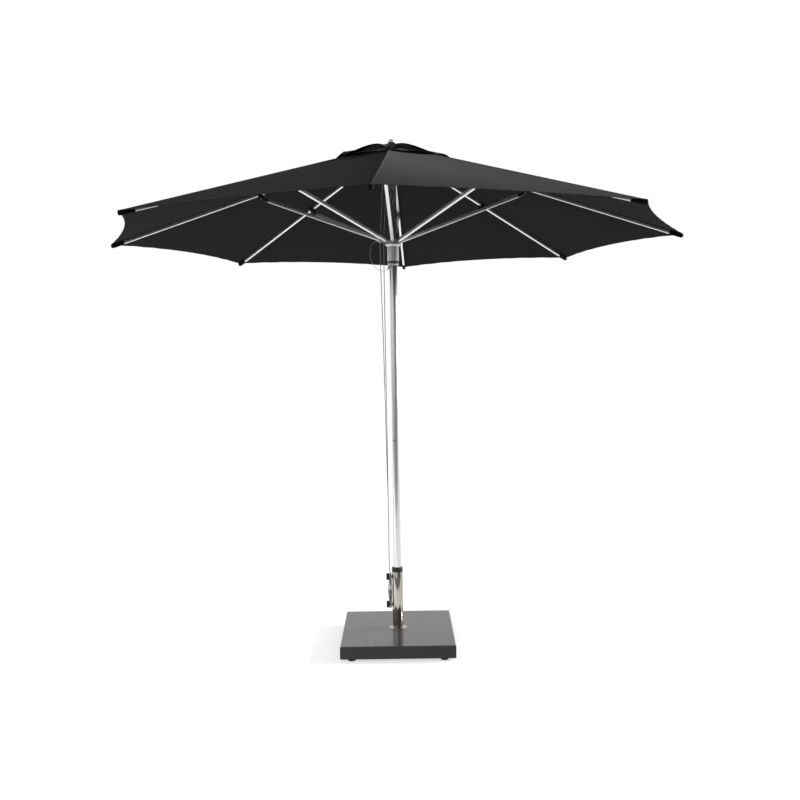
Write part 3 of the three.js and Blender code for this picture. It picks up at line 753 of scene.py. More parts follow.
def box_tube(name, size, start, end, metal):
    """A drawn rectangular tube along +X with rounded edges, open at both ends."""
    radius = 0.0016
    outer = rectangle(size["width"], size["height"], radius)
    inner = rectangle(size["width"] - 2 * size["wall"], size["height"] - 2 * size["wall"], radius / 2)
    count = len(outer)
    vertices = []
    for x in (start, end):
        for ring in (outer, inner):
            vertices += [(x, point[0], point[1]) for point in ring]
    faces = []
    for side in range(count):
        after = (side + 1) % count
        a, b, c, d = 0, count, 2 * count, 3 * count
        faces.append([a + side, a + after, c + after, c + side])
        faces.append([b + after, b + side, d + side, d + after])
        faces.append([a + after, a + side, b + side, b + after])
        faces.append([c + side, c + after, d + after, d + side])
    return mesh_of(name, vertices, faces, metal, sharp=50.0)


def tongue_outline(height, x, end):
    """A bar in the XZ plane with a round end at x."""
    side = 1 if end > x else -1
    round_end = [(x + side * out, rise) for out, rise in circle(height / 2, 14, math.pi / 2, math.pi, True)]
    return round_end + [(end, -height / 2), (end, height / 2)]


def ride(thing, body, *nodes):
    """Puts a piece on a body, in the slot of its first material, and in the place of CAD nodes."""
    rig.ride(thing, body)
    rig.slot(thing, SLOTS[thing.data.materials[0]])
    if nodes:
        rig.replaces(thing, *nodes)
    return thing


# ---- cords

def beside(radius, side, z):
    """A point in the halyard's plane, at a radius from the mast, moved sideways by `side`."""
    cos, sin = math.cos(CORD_AZIMUTH), math.sin(CORD_AZIMUTH)
    return (radius * cos - side * sin, radius * sin + side * cos, z)


LAP = SHEAVE["groove"] + HALYARD / 2 + GAP
OVER_SHEAVE = [
    beside(SHEAVE["centre"] + out, 0, SHEAVE["z"] + rise) for out, rise in circle(LAP, 12, 0.0, math.pi, True)
]
HAULING_ROUTE = [
    (-0.038, -0.007, 0.3689),
    (-0.041, -0.008, 0.402),
    (-0.042, -0.011, 0.700),
    beside(0.0495, 0, 0.950),
    beside(0.058, 0, 1.500),
    beside(0.070, 0, 2.080),
    beside(0.0685, 0, 2.110),
    beside(0.056, 0, 2.300),
] + OVER_SHEAVE
RETURN_ROUTE = [
    (-0.038, -0.001, 0.3689),
    (-0.041, -0.002, 0.402),
    (-0.0425, -0.003, 0.700),
    beside(0.0450, -0.002, 0.950),
    beside(0.0485, 0, 1.500),
    beside(0.050, 0, 2.080),
    beside(0.049, 0, 2.110),
    beside(0.037, 0, 2.300),
    beside(SHEAVE["centre"] - LAP, 0, SHEAVE["z"] - 3 * GAP),
]
LANYARD_ROUTE = [
    (-0.030, -0.061, 1.945),
    (-0.036, -0.066, 1.938),
    (-0.050, -0.063, 1.934),
    (-0.066, -0.057, 1.937),
    (-0.082, -0.050, 1.945),
    (-0.098, -0.046, 1.960),
    (-0.110, -0.042, 1.983),
    (-0.117, -0.039, 2.010),
    (-0.117, -0.036, 2.037),
    (-0.111, -0.033, 2.060),
    (-0.101, -0.031, 2.077),
    (-0.090, -0.029, 2.085),
    (-0.079, -0.027, 2.086),
]


def smooth_path(route, step):
    """Points about `step` apart along a centripetal curve through the route's points."""
    given = [Vector(point) for point in route]
    given = [2 * given[0] - given[1]] + given + [2 * given[-1] - given[-2]]
    path = [given[1]]
    for index in range(1, len(given) - 2):
        before, start, end, after = given[index - 1:index + 3]
        gaps = [max((b - a).length, 1e-6) ** 0.5 for a, b in ((before, start), (start, end), (end, after))]
        leave = (start - before) / gaps[0] - (end - before) / (gaps[0] + gaps[1]) + (end - start) / gaps[1]
        arrive = (end - start) / gaps[1] - (after - start) / (gaps[1] + gaps[2]) + (after - end) / gaps[2]
        leave, arrive = leave * gaps[1], arrive * gaps[1]
        count = max(1, round((end - start).length / step))
        for n in range(1, count + 1):
            t = n / count
            path.append(start * (2 * t ** 3 - 3 * t ** 2 + 1) + leave * (t ** 3 - 2 * t ** 2 + t)
                        + end * (3 * t ** 2 - 2 * t ** 3) + arrive * (t ** 3 - t ** 2))
    return path


def path_length(path):
    return sum((after - before).length for before, after in zip(path, path[1:]))


def tube_along(name, path, radius, metal, sides=12):
    """A round tube along a path, closed at both ends."""
    count = len(path)
    tangents = [(path[min(n + 1, count - 1)] - path[max(n - 1, 0)]).normalized() for n in range(count)]
    sideways = tangents[0].orthogonal().normalized()
    vertices, travel, lengths = [], 0.0, []
    for index in range(count):
        sideways = (sideways - tangents[index] * sideways.dot(tangents[index])).normalized()
        other = tangents[index].cross(sideways)
        if index:
            travel += (path[index] - path[index - 1]).length
        lengths.append(travel)
        vertices += [path[index] + sideways * x + other * y for x, y in circle(radius, sides)]
    faces, corner_uvs = [], []
    girth = math.tau * radius / sides
    for index in range(count - 1):
        for side in range(sides):
            faces.append(quad(index * sides, (index + 1) * sides, side, sides))
            corner_uvs.append(quad_uvs(side, girth, lengths[index], lengths[index + 1]))
    last = (count - 1) * sides
    for ring, end in ((list(range(sides))[::-1], 0), (list(range(last, last + sides)), count - 1)):
        faces.append(ring)
        corner_uvs.append([(0.0, lengths[end])] * sides)
    return new_object(name, mesh_of(name, vertices, faces, metal, corner_uvs, sharp=60.0))


def declare_cord(cord, path, diameter, slot, node, stiffness, lay):
    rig.slot(cord, slot)
    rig.replaces(cord, node)
    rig.cord(cord, exit=path[0], length=path_length(path), diameter=diameter, far_end="object",
            stiffness=stiffness, lay=lay, path=path)


def make_run(name, route, node):
    """One run of the halyard, in two pieces: the lower one bends from the base to the mast's foot as
    the mast is pulled up, and the upper one from the foot to the mast as the mast turns."""
    path = smooth_path(route, 0.004)
    split = next(index for index, point in enumerate(path) if point.z >= HALYARD_SPLIT_Z)
    lower, upper = path[:split + 1], path[split:]
    for part, points, bodies, heights in (
            ("lower", lower, ("base", "mast_foot"), (0.45, 0.90)),
            ("upper", upper, ("mast_foot", "mast"), (1.05, 2.00))):
        cord = tube_along(f"{name}_{part}", points, HALYARD / 2, CORD)
        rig.blend(cord, *bodies, start=(0, 0, heights[0]), end=(0, 0, heights[1]))
        declare_cord(cord, points, HALYARD, "cord", node, "limp", "taut")


def winding_path():
    """The spare cord, wound round both knob screws: two turns side by side in each of three layers."""
    near, far = 0.0337, 0.0379
    first, second, third = 0.0105, 0.0144, 0.0183
    lanes = [(near, first), (far, first), (far, second), (near, second), (near, third), (far, third)]
    upper, lower = KNOB_HEIGHTS["upper"], KNOB_HEIGHTS["lower"]
    path = []
    steps = 64
    for turn, (out, radius) in enumerate(lanes):
        following = lanes[min(turn + 1, len(lanes) - 1)]
        for step in range(steps):
            share = step / steps
            move = max(0.0, (share - 0.85) / 0.15)
            x = out + (following[0] - out) * move
            reach = radius + (following[1] - radius) * move
            if share < 0.25 or share >= 0.75:
                climb = (share / 0.25 + 1) / 2 if share < 0.25 else ((share - 0.75) / 0.25) / 2
                z = lower + (upper - lower) * climb
                side = reach
            else:
                climb = 1 - (share - 0.35) / 0.30
                turning = share < 0.35 or share >= 0.65
                z = lower + (upper - lower) * climb
                side = -reach
                if turning:
                    top = share < 0.35
                    angle = math.pi * ((share - 0.25) / 0.10 if top else 1 + (share - 0.65) / 0.10)
                    z = (upper if top else lower) + reach * math.sin(angle)
                    side = reach * math.cos(angle)
            slack = math.sin(math.pi * min(1.0, max(0.0, (z - lower) / (upper - lower))))
            bulge = slack * (0.012 * turn / (len(lanes) - 1) - 0.003)
            path.append(Vector((-x - bulge, side * (1 + 0.10 * slack), z)))
    return path


def make_winding():
    path = smooth_path(winding_path(), 0.003)
    cord = tube_along("halyard_spare_turns", path, HALYARD / 2, CORD)
    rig.ride(cord, "base")
    declare_cord(cord, path, HALYARD, "cord", "halyard_winding", "limp", "coiled")


def make_lanyard():
    path = smooth_path(LANYARD_ROUTE, 0.002)
    wire = tube_along("pin_lanyard_wire", path, LANYARD / 2, WIRE)
    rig.blend(wire, "lock_pin", "runner", start=path[0], end=path[-1])
    declare_cord(wire, path, LANYARD, "wire", "pin_lanyard", "stiff", "loose")


make_run("halyard_hauling", HAULING_ROUTE, "halyard_hauling_run")
make_run("halyard_return", RETURN_ROUTE, "halyard_return_run")
make_winding()
make_lanyard()


# ---- base

def make_slab():
    half = SLAB["side"] / 2
    inner = half - SLAB["bevel"]
    rows = [(inner, SLAB["bottom"]), (half - 0.001, SLAB["bottom"] + 0.003), (half, SLAB["bottom"] + 0.004),
            (half, SLAB["top"] - 0.0045), (half - 0.0005, SLAB["top"] - 0.0038),
            (inner + 0.0006, SLAB["top"] - 0.0004), (inner, SLAB["top"])]
    corners = [(-1, -1), (1, -1), (1, 1), (-1, 1)]
    vertices = [(x * reach, y * reach, z) for reach, z in rows for x, y in corners]
    faces = [[3, 2, 1, 0]]
    tones = [1]
    for row in range(len(rows) - 1):
        for side in range(4):
            faces.append(quad(row * 4, row * 4 + 4, side, 4))
            tones.append(0 if row >= len(rows) - 3 else 1)
    last = (len(rows) - 1) * 4
    faces.append([last, last + 1, last + 2, last + 3])
    tones.append(0)
    mesh = mesh_of("granite_block", vertices, faces, [GRANITE_TOP, GRANITE_SIDE], tones=tones, sharp=20.0)
    slab = new_object("granite_block", mesh)
    recess = rod("cutter", (0, 0, 0.005), (0, 0, 0.023), 0.020, GRANITE_SIDE, 48, 0)
    shaft = rod("cutter", (0, 0, 0.005), (0, 0, 0.080), 0.007, GRANITE_SIDE, 32, 0)
    carve(slab, [recess, shaft])
    smooth(slab.data, 20.0)
    ride(slab, "base", "granite_slab")


def make_feet():
    radius, height = FOOT["radius"], SLAB["bottom"] - GAP
    profile = [(0, 0), (radius - 0.001, 0), (radius, 0.0015), (radius - 0.0015, height), (0, height)]
    for corner in range(4):
        x = FOOT["across"] * (1 if corner % 3 else -1)
        y = FOOT["along"] * (-1 if corner < 2 else 1)
        name = f"rubber_foot_{corner + 1}"
        foot = turned(name, fillet(profile, 0.0008, 2, False), RUBBER, 48, False, shift(x, y, 0))
        ride(foot, "base", f"foot_{corner + 1}")


def make_tube():
    low, high = FLANGE["bottom"], FLANGE["top"]
    dish = [(0.0063, low), (FLANGE["radius"], low), (FLANGE["radius"], low + 0.0018), (0.0405, high - 0.0008),
            (0.034, high), (0.0063, high)]
    flange = turned("flange_plate", fillet(dish, 0.0009), STAINLESS, 128)
    ride(flange, "base", "base_flange")
    bottom, top = TUBE["bottom"], TUBE["top"]
    wall = ring_section(TUBE["bore"], TUBE["radius"], bottom, top)
    tube = turned("steel_tube", fillet(wall, 0.0005, 2), STAINLESS, 128)
    hole = KNOB_SCREW + 0.0005
    screw_holes = [rod("cutter", (-0.033, 0, z), (-0.021, 0, z), hole, STAINLESS, 32, 0)
                   for z in KNOB_HEIGHTS.values()]
    ride(carve(tube, screw_holes), "base", "base_tube")
    weld = [(0.0281, high - 0.0002), (0.0325, high - 0.0002), (0.0305, high + 0.0010), (0.0281, high + 0.0030)]
    ride(turned("tube_weld", fillet(weld, 0.001), STAINLESS, 96), "base")


def make_collar():
    bottom = TUBE["top"] + GAP
    inner, plug, lip, skirt, top = 0.0205, 0.0252, 0.0284, 0.361, 0.397
    profile = [(inner, skirt), (plug, skirt), (plug, bottom), (lip, bottom), (lip, top - 0.0025),
               (lip - 0.0018, top), (inner, top)]
    collar = turned("split_collar", fillet(profile, 0.0008), PLASTIC, 96)
    groove = ring_section(0.0280, 0.0300, 0.3795, 0.3805)
    carve(collar, [turned("cutter", groove, PLASTIC, 96)])
    ride(collar, "base", "tube_collar")
    bush_top, floor = TUBE["bottom"] + 0.031, TUBE["bottom"] + 0.011
    profile = [(0, TUBE["bottom"]), (plug, TUBE["bottom"]), (plug, bush_top), (inner, bush_top),
               (inner, floor), (0, floor)]
    bush = turned("mast_seat_bush", fillet(profile, 0.0006, 2, False), PLASTIC, 64, False)
    ride(bush, "base", "foot_bush")


def make_anchor():
    low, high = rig.box("anchor_washer")
    wheel = ring_section(0.0063, 0.018, low.z, high.z)
    ride(turned("dished_washer", fillet(wheel, 0.0004, 2), ZINC, 64), "base", "anchor_washer")
    low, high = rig.box("anchor_bolt")
    head = prism("bolt_head", circle(0.011, 6), low.z, low.z + 0.008, ZINC, None, 0.0006)
    ride(head, "base", "anchor_bolt")
    shank = rod("bolt_shank", (0, 0, low.z + 0.007), (0, 0, high.z), 0.006, ZINC)
    ride(shank, "base", "anchor_bolt")


def make_knobs():
    """Two six-lobed clamp knobs, their screws and the threaded bosses that the screws run in."""
    outline = []
    steps = KNOB["lobes"] * 16
    for step in range(steps):
        angle = step / steps * math.tau
        radius = KNOB["radius"] + KNOB["lobe"] * math.cos(KNOB["lobes"] * angle)
        outline.append((radius * math.cos(angle), radius * math.sin(angle)))
    length = KNOB["outer"] - KNOB["inner"]
    for name, z in KNOB_HEIGHTS.items():
        place = shift(-KNOB["inner"], 0, z) @ FACING_LEFT
        head = prism(f"{name}_star_knob", outline, 0, length, PLASTIC, place, 0.0022, 4)
        floor, above = length - 0.0012, length + 0.001
        bowl = [(0, floor), (0.0085, floor), (0.0095, above), (0, above)]
        dish = turned("cutter", bowl, PLASTIC, 48, False, place)
        ends = (-KNOB["inner"] + 0.001, 0, z), (-0.0503, 0, z)
        bore = rod("cutter", *ends, KNOB_SCREW + GAP, PLASTIC, 32, 0)
        ride(carve(head, [dish, bore]), f"{name}_knob", f"{name}_knob")
        screw = rod(f"{name}_clamp_screw", (-0.0205, 0, z), (-0.050, 0, z), KNOB_SCREW, ZINC, 40, 0.0006)
        ride(screw, f"{name}_knob", f"{name}_knob_screw")
        nut = ring_section(KNOB_SCREW + GAP, 0.008, 0, 0.003)
        place = shift(-TUBE["radius"] - GAP, 0, z) @ FACING_LEFT
        boss = turned(f"{name}_weld_boss", fillet(nut, 0.0005, 2), ZINC, 48, True, place)
        ride(boss, "base", f"{name}_boss")


# ---- mast and finial

def make_mast():
    radius, bore = MAST["radius"], MAST["radius"] - MAST["wall"]
    wall = ring_section(bore, radius, MAST["bottom"], MAST["top"])
    mast = turned("mast_pole", fillet(wall, 0.0004, 2), MAST_METAL, 96)
    out = outward(PIN_AZIMUTH)
    holes = [rod("cutter", Vector((0, 0, z)), out * 0.03 + Vector((0, 0, z)), 0.0046, MAST_METAL, 32, 0)
             for z in (PIN_Z, PIN_Z - RUNNER_TRAVEL)]
    ride(carve(mast, holes), "mast", "mast_tube")
    seat = MAST["bottom"] - GAP
    plug = [(0, 0.092), (0.019, 0.092), (0.020, 0.093), (0.020, seat), (bore - 0.0005, seat),
            (bore - 0.0005, seat + 0.040), (0, seat + 0.040)]
    foot = turned("mast_end_plug", fillet(plug, 0.0006, 2, False), PLASTIC, 64, False)
    ride(foot, "mast_foot", "mast_foot_plug")

    dome = [(0, 2.562), (0.006, 2.562), (0.006, 2.5862), (0.0188, 2.5862), (0.0200, 2.5874)]
    dome += [(out, 2.5874 + rise * 0.93) for out, rise in circle(0.020, 16, 0.0, math.pi / 2)[1:]]
    dome.append((0, 2.606))
    ride(turned("finial_dome", dome, CAST_METAL, 96, False), "mast", "finial")


# ---- hub and runner

def ring_groove(z):
    return torus("cutter", PIVOT_RADIUS, RING_WIRE + 0.0005, z, CAST_METAL)


def crown_slots(pivot_z, side):
    """Cutters for the slots that the ribs or struts turn in: open below on the hub, above on the runner."""
    ends = sorted((pivot_z - side * CROWN_SLOT["shut"], pivot_z + side * (CROWN["open"] + 0.001)))
    half = CROWN_SLOT["width"] / 2
    return [cutter((CROWN_SLOT["start"], -half, ends[0]), (CROWN["radius"] + 0.005, half, ends[1]), azimuth)
            for azimuth in RIB_AZIMUTHS]


def make_hub():
    inner = MAST["radius"] + GAP
    top, shoulder = HUB_Z + CROWN["shut"], HUB_Z - CROWN["open"]
    radius, seat, neck = CROWN["radius"], MAST["top"] + GAP, 0.024
    profile = [(0.0063, seat), (inner, seat), (inner, 2.465), (neck, 2.465), (neck, shoulder),
               (radius, shoulder), (radius, top - 0.002), (radius - 0.002, top), (0.0063, top)]
    hub = turned("hub_casting", fillet(profile, 0.0008), CAST_METAL, 128)
    near = SHEAVE["width"] / 2 + GAP
    reach = SHEAVE["centre"] + SHEAVE["flange"]
    cheeks = []
    for side in (-1, 1):
        ends = sorted((side * near, side * (near + 0.0015)))
        low = (0.0225, ends[0], SHEAVE["z"] - SHEAVE["flange"] - 0.002)
        high = (reach, ends[1], SHEAVE["z"] + SHEAVE["flange"] + 0.006)
        cheeks.append(cutter(low, high, CORD_AZIMUTH))
    carve(hub, cheeks, "UNION")
    carve(hub, crown_slots(HUB_Z, -1) + [ring_groove(HUB_Z)])
    ride(hub, "mast", "top_hub")
    ring = torus("hub_ring_wire", PIVOT_RADIUS, RING_WIRE, HUB_Z, ZINC)
    ride(ring, "mast", "hub_pivot_ring")

    across = turn_about("Z", CORD_AZIMUTH) @ shift(SHEAVE["centre"], 0, SHEAVE["z"]) @ LYING
    half, bore = SHEAVE["width"] / 2, SHEAVE["axle"] + GAP
    groove = [(bore, -half), (SHEAVE["flange"], -half)]
    for step in range(13):
        angle = (step - 6) / 12 * math.pi
        depth = (SHEAVE["flange"] - SHEAVE["groove"]) * math.cos(angle)
        groove.append((SHEAVE["flange"] - depth, half * 0.9 * math.sin(angle)))
    groove += [(SHEAVE["flange"], half), (bore, half)]
    wheel = turned("sheave_wheel", groove, PLASTIC, 72, True, across)
    ride(wheel, "top_sheave", "top_sheave")
    reach = half + GAP + 0.0025
    profile = [(0, -reach), (0.0032, -reach), (0.0032, -reach + 0.0008), (0.002, -reach + 0.0008),
               (0.002, reach - 0.0008), (0.0032, reach - 0.0008), (0.0032, reach), (0, reach)]
    axle = turned("sheave_pin", fillet(profile, 0.0002, 2, False), ZINC, 40, False, across)
    ride(axle, "mast", "sheave_axle")


def make_runner():
    bore, bottom = 0.0206, 1.968
    shoulder, top = RUNNER_Z - CROWN["shut"], RUNNER_Z + CROWN["open"]
    groove_low, groove_high = 1.981 - GAP, 1.987 + GAP
    outer, groove_floor = 0.029, 0.0255
    profile = [(bore, bottom), (outer - 0.002, bottom), (outer, bottom + 0.002), (outer, groove_low),
               (groove_floor, groove_low), (groove_floor, groove_high), (outer, groove_high),
               (0.0308, shoulder - 0.008), (CROWN["radius"], shoulder), (CROWN["radius"], top), (bore, top)]
    runner = turned("runner_casting", fillet(profile, 0.0007), CAST_METAL, 128)
    lug_place = turn_about("Z", PIN_AZIMUTH) @ shift(0.027, 0, 0)
    lug = prism("cutter", rectangle(0.0118, 0.016, 0.003, 4), 1.950, 1.9755, CAST_METAL, lug_place)
    carve(runner, [lug], "UNION")
    out = outward(PIN_AZIMUTH)
    here = Vector((0, 0, PIN_Z))
    pin_bore = rod("cutter", here + out * 0.015, here + out * 0.040, 0.0043, CAST_METAL, 40, 0)
    mast_room = rod("cutter", (0, 0, 1.94), (0, 0, 1.98), bore, CAST_METAL, 128, 0)
    carve(runner, crown_slots(RUNNER_Z, 1) + [ring_groove(RUNNER_Z), pin_bore, mast_room])
    ride(runner, "runner", "runner")
    ring = torus("runner_ring_wire", PIVOT_RADIUS, RING_WIRE, RUNNER_Z, ZINC)
    ride(ring, "runner", "runner_pivot_ring")
    grip = ring_section(groove_floor + GAP, 0.0294, groove_low + GAP, groove_high - GAP)
    ride(turned("runner_grip_band", fillet(grip, 0.0008), PLASTIC, 96), "runner", "runner_band")

    side = turn_about("Z", CORD_AZIMUTH)
    arm_low, arm_high = 0.0404, 0.079
    outline = fillet(ring_section(arm_low, arm_high, -0.006, 0.006), 0.003, 5)
    guide = prism("guide_arm", outline, 2.083, 2.087, CAST_METAL, side)
    tab = cutter((arm_low, -0.006, 2.073), (arm_low + 0.003, 0.006, 2.086), CORD_AZIMUTH)
    carve(guide, [tab], "UNION")
    slot_outline = fillet(ring_section(0.0436, 0.075, -0.0028, 0.0028), 0.0025, 4)
    carve(guide, [prism("cutter", slot_outline, 2.08, 2.09, CAST_METAL, side)])
    ride(bevel(guide, 0.0004), "runner", "cord_guide")


def make_pin():
    """The locking pin: a straight nose in the runner's lug, and an end bent down to pull it by."""
    out = outward(PIN_AZIMUTH)
    straight = [(0.021, 0), (0.029, 0), (0.037, 0), (0.043, 0)]
    bent = [(0.049, -0.002), (0.055, -0.008), (0.063, -0.018)]
    route = [out * reach + Vector((0, 0, PIN_Z + rise)) for reach, rise in straight + bent]
    path = smooth_path(route, 0.0012)
    pin = tube_along("bent_lock_pin", path, 0.004, ZINC, 28)
    ride(bevel(pin, 0.0007, 3, 60.0), "lock_pin", "lock_pin")


# ---- ribs and struts

def rib_place(rib):
    return turn_about("Z", RIB_AZIMUTHS[rib]) @ shift(PIVOT_RADIUS, 0, HUB_Z) @ turn_about("Y", RIB_SLOPE)


def strut_place(rib):
    turn = turn_about("Z", RIB_AZIMUTHS[rib]) @ shift(JOINT_RADIUS, 0, JOINT_Z)
    return turn @ turn_about("Y", math.pi - LINK_SLOPE)


def shape_of(thing):
    """The mesh of a piece that was made only to be copied, with its own place taken into the mesh."""
    mesh = thing.data
    mesh.transform(thing.matrix_world)
    bpy.data.objects.remove(thing)
    return mesh


def plate(name, outline, half_width, metal, edge=0.0005):
    """An outline in the XZ plane, as thick as twice the half width."""
    return shape_of(prism(name, outline, -half_width, half_width, metal, LYING, edge))


def bracket_shape():
    """A black saddle under the rib with two cheeks that hold the strut's pivot."""
    half, inner, reach = BRACKET["half"], BRACKET["inner"], JOINT_REACH
    side = RIB["height"] / 2
    arc = circle(half, 20, math.pi, math.pi, True)
    outline = [(reach + out, -JOINT_DROP + rise) for out, rise in arc]
    right = [(half + 0.001, -side - 0.002), (half + 0.004, side - 0.003), (half + 0.003, side - 0.002)]
    outline += [(reach + out, rise) for out, rise in right]
    outline += [(reach - out, rise) for out, rise in right[::-1]]
    outer = inner + BRACKET["wall"]
    block = prism("rib_bracket", outline, -outer, outer, PLASTIC, LYING)
    loose = inner + 0.0004
    room = cutter((reach - 0.05, -loose, -0.06), (reach + 0.05, loose, -side - 0.0025))
    bar = cutter((reach - 0.05, -inner, -side - 0.0002), (reach + 0.05, inner, 0.02))
    carve(block, [room, bar])
    return shape_of(bevel(block, 0.0005, 2))


def rivet_shape():
    """A headed pin across the bracket."""
    reach = BRACKET["inner"] + BRACKET["wall"]
    head, rise = 0.0042, 0.0014
    upper = [(RIVET, reach), (head, reach), (head, reach + 0.0003),
             (head * 0.6, reach + rise), (0, reach + rise)]
    profile = [(radius, -z) for radius, z in upper[::-1]] + upper
    place = shift(JOINT_REACH, 0, -JOINT_DROP) @ LYING
    return shape_of(turned("strut_rivet", fillet(profile, 0.0004, 2, False), ZINC, 32, False, place))


def pocket_shape():
    """The sewn pocket that holds the end of the rib, a squarish sleeve that is closed at the tip."""
    back, length = RIB_LENGTH - POCKET["back"], POCKET["back"] + POCKET["front"]
    stations = [(0.0, 0.97), (0.03, 1.0), (0.5, 1.0), (0.86, 0.97), (0.94, 0.86), (0.98, 0.62), (1.0, 0.3)]
    sides, squareness, girth = 28, 6, 0.06
    vertices, faces, corner_uvs = [], [], []
    for share, size in stations:
        for cos, sin in circle(1.0, sides):
            wide = size * (abs(cos) ** squareness + abs(sin) ** squareness) ** (-1 / squareness)
            height = POCKET["up"] if sin > 0 else POCKET["down"]
            place = (back + share * length, POCKET["half"] * cos * wide, POCKET["lift"] + height * sin * wide)
            vertices.append(place)
    for row in range(len(stations) - 1):
        low, high = stations[row][0] * length, stations[row + 1][0] * length
        for side in range(sides):
            faces.append(quad(row * sides, (row + 1) * sides, side, sides)[::-1])
            corner_uvs.append(quad_uvs(side, girth / sides, low, high)[::-1])
    last = (len(stations) - 1) * sides
    faces += [list(range(sides)), list(range(last, last + sides))[::-1]]
    corner_uvs += [[(0, 0)] * sides, [(0, 0.09)] * sides]
    return mesh_of("rib_tip_pocket", vertices, faces, POCKET_CLOTH, corner_uvs, sharp=50.0)


def make_frame():
    rib_end = RIB_LENGTH - 0.006
    rib_bar = box_tube("rib_bar", RIB, RIB["start"], rib_end, FRAME_METAL)
    rib_tongue = plate("rib_tongue", tongue_outline(TONGUE["height"], 0, RIB["start"] + 0.010),
                       TONGUE["width"] / 2, CAST_METAL)
    bracket, rivet, pocket = bracket_shape(), rivet_shape(), pocket_shape()
    strut_bar = box_tube("strut_bar", STRUT, STRUT["start"], LINK - STRUT["end"], FRAME_METAL)
    strut_head = plate("strut_head", tongue_outline(0.014, 0, STRUT["start"] + 0.010), 0.006, PLASTIC)
    strut_foot = plate("strut_foot", tongue_outline(TONGUE["height"], LINK, LINK - STRUT["end"] - 0.010),
                       TONGUE["width"] / 2, CAST_METAL)
    collar_size = {"width": 0.0166, "height": 0.0176, "wall": 0.0009}
    sleeve = box_tube("strut_sleeve", collar_size, STRUT["start"] - 0.001, STRUT["start"] + 0.016, PLASTIC)
    parts = (("rib", rib_place, (rib_bar, rib_tongue, bracket, rivet, pocket)),
             ("strut", strut_place, (strut_bar, strut_head, strut_foot, sleeve)))
    for rib in range(RIBS):
        number = rib + 1
        for kind, place_of, shapes in parts:
            for shape in shapes:
                piece = new_object(f"{shape.name.split('.')[0]}_{number}", shape, place_of(rib))
                ride(piece, f"{kind}_{number}", f"{kind}_{number}")


# ---- canopy and vent cap

RIB_TOP = RIB["height"] / 2 / math.cos(RIB_SLOPE)
HALF_SECTOR = SECTOR / 2
CANOPY_FALL = (CANOPY["tip"] - CANOPY["vent"]) / math.cos(RIB_SLOPE)  # the canopy's length down its slope


def cloth_z(reach):
    """The underside of the stretched cloth at `reach` from the mast, measured along a rib."""
    return HUB_Z + RIB_TOP + CLOTH_LIFT - (reach - PIVOT_RADIUS) * math.tan(RIB_SLOPE)


def steps_between(first, last, count):
    return [first + (last - first) * n / count for n in range(1, count + 1)]


def cloth_mesh(name, columns, rows, point_at, thickness_at, uv_at, upper, under):
    """A thin closed sheet over a grid. The upper and under faces have their own materials."""
    wide, tall = len(columns), len(rows)
    vertices = []
    for layer in range(2):
        for row in range(tall):
            for column in range(wide):
                x, y, z = point_at(columns[column], rows[row])
                vertices.append((x, y, z + layer * thickness_at(columns[column], rows[row])))

    def at(column, row, layer):
        return (layer * tall + row) * wide + column

    faces, corner_uvs, tones = [], [], []

    def add(corners, places, tone):
        faces.append(corners)
        corner_uvs.append([uv_at(columns[c], rows[r]) for c, r in places])
        tones.append(tone)

    for row in range(tall - 1):
        for column in range(wide - 1):
            places = [(column, row), (column, row + 1), (column + 1, row + 1), (column + 1, row)]
            add([at(c, r, 1) for c, r in places], places, 0)
            add([at(c, r, 0) for c, r in places[::-1]], places[::-1], 1)
    border = [((c, 0), (c + 1, 0)) for c in range(wide - 1)]
    border += [((wide - 1, r), (wide - 1, r + 1)) for r in range(tall - 1)]
    border += [((c + 1, tall - 1), (c, tall - 1)) for c in range(wide - 1)]
    border += [((0, r + 1), (0, r)) for r in range(tall - 1)]
    for first, second in border:
        places = [first, second, second, first]
        corners = [at(*first, 1), at(*second, 1), at(*second, 0), at(*first, 0)]
        add(corners, places, 0)
    return mesh_of(name, vertices, faces, [upper, under], corner_uvs, tones, sharp=40.0)


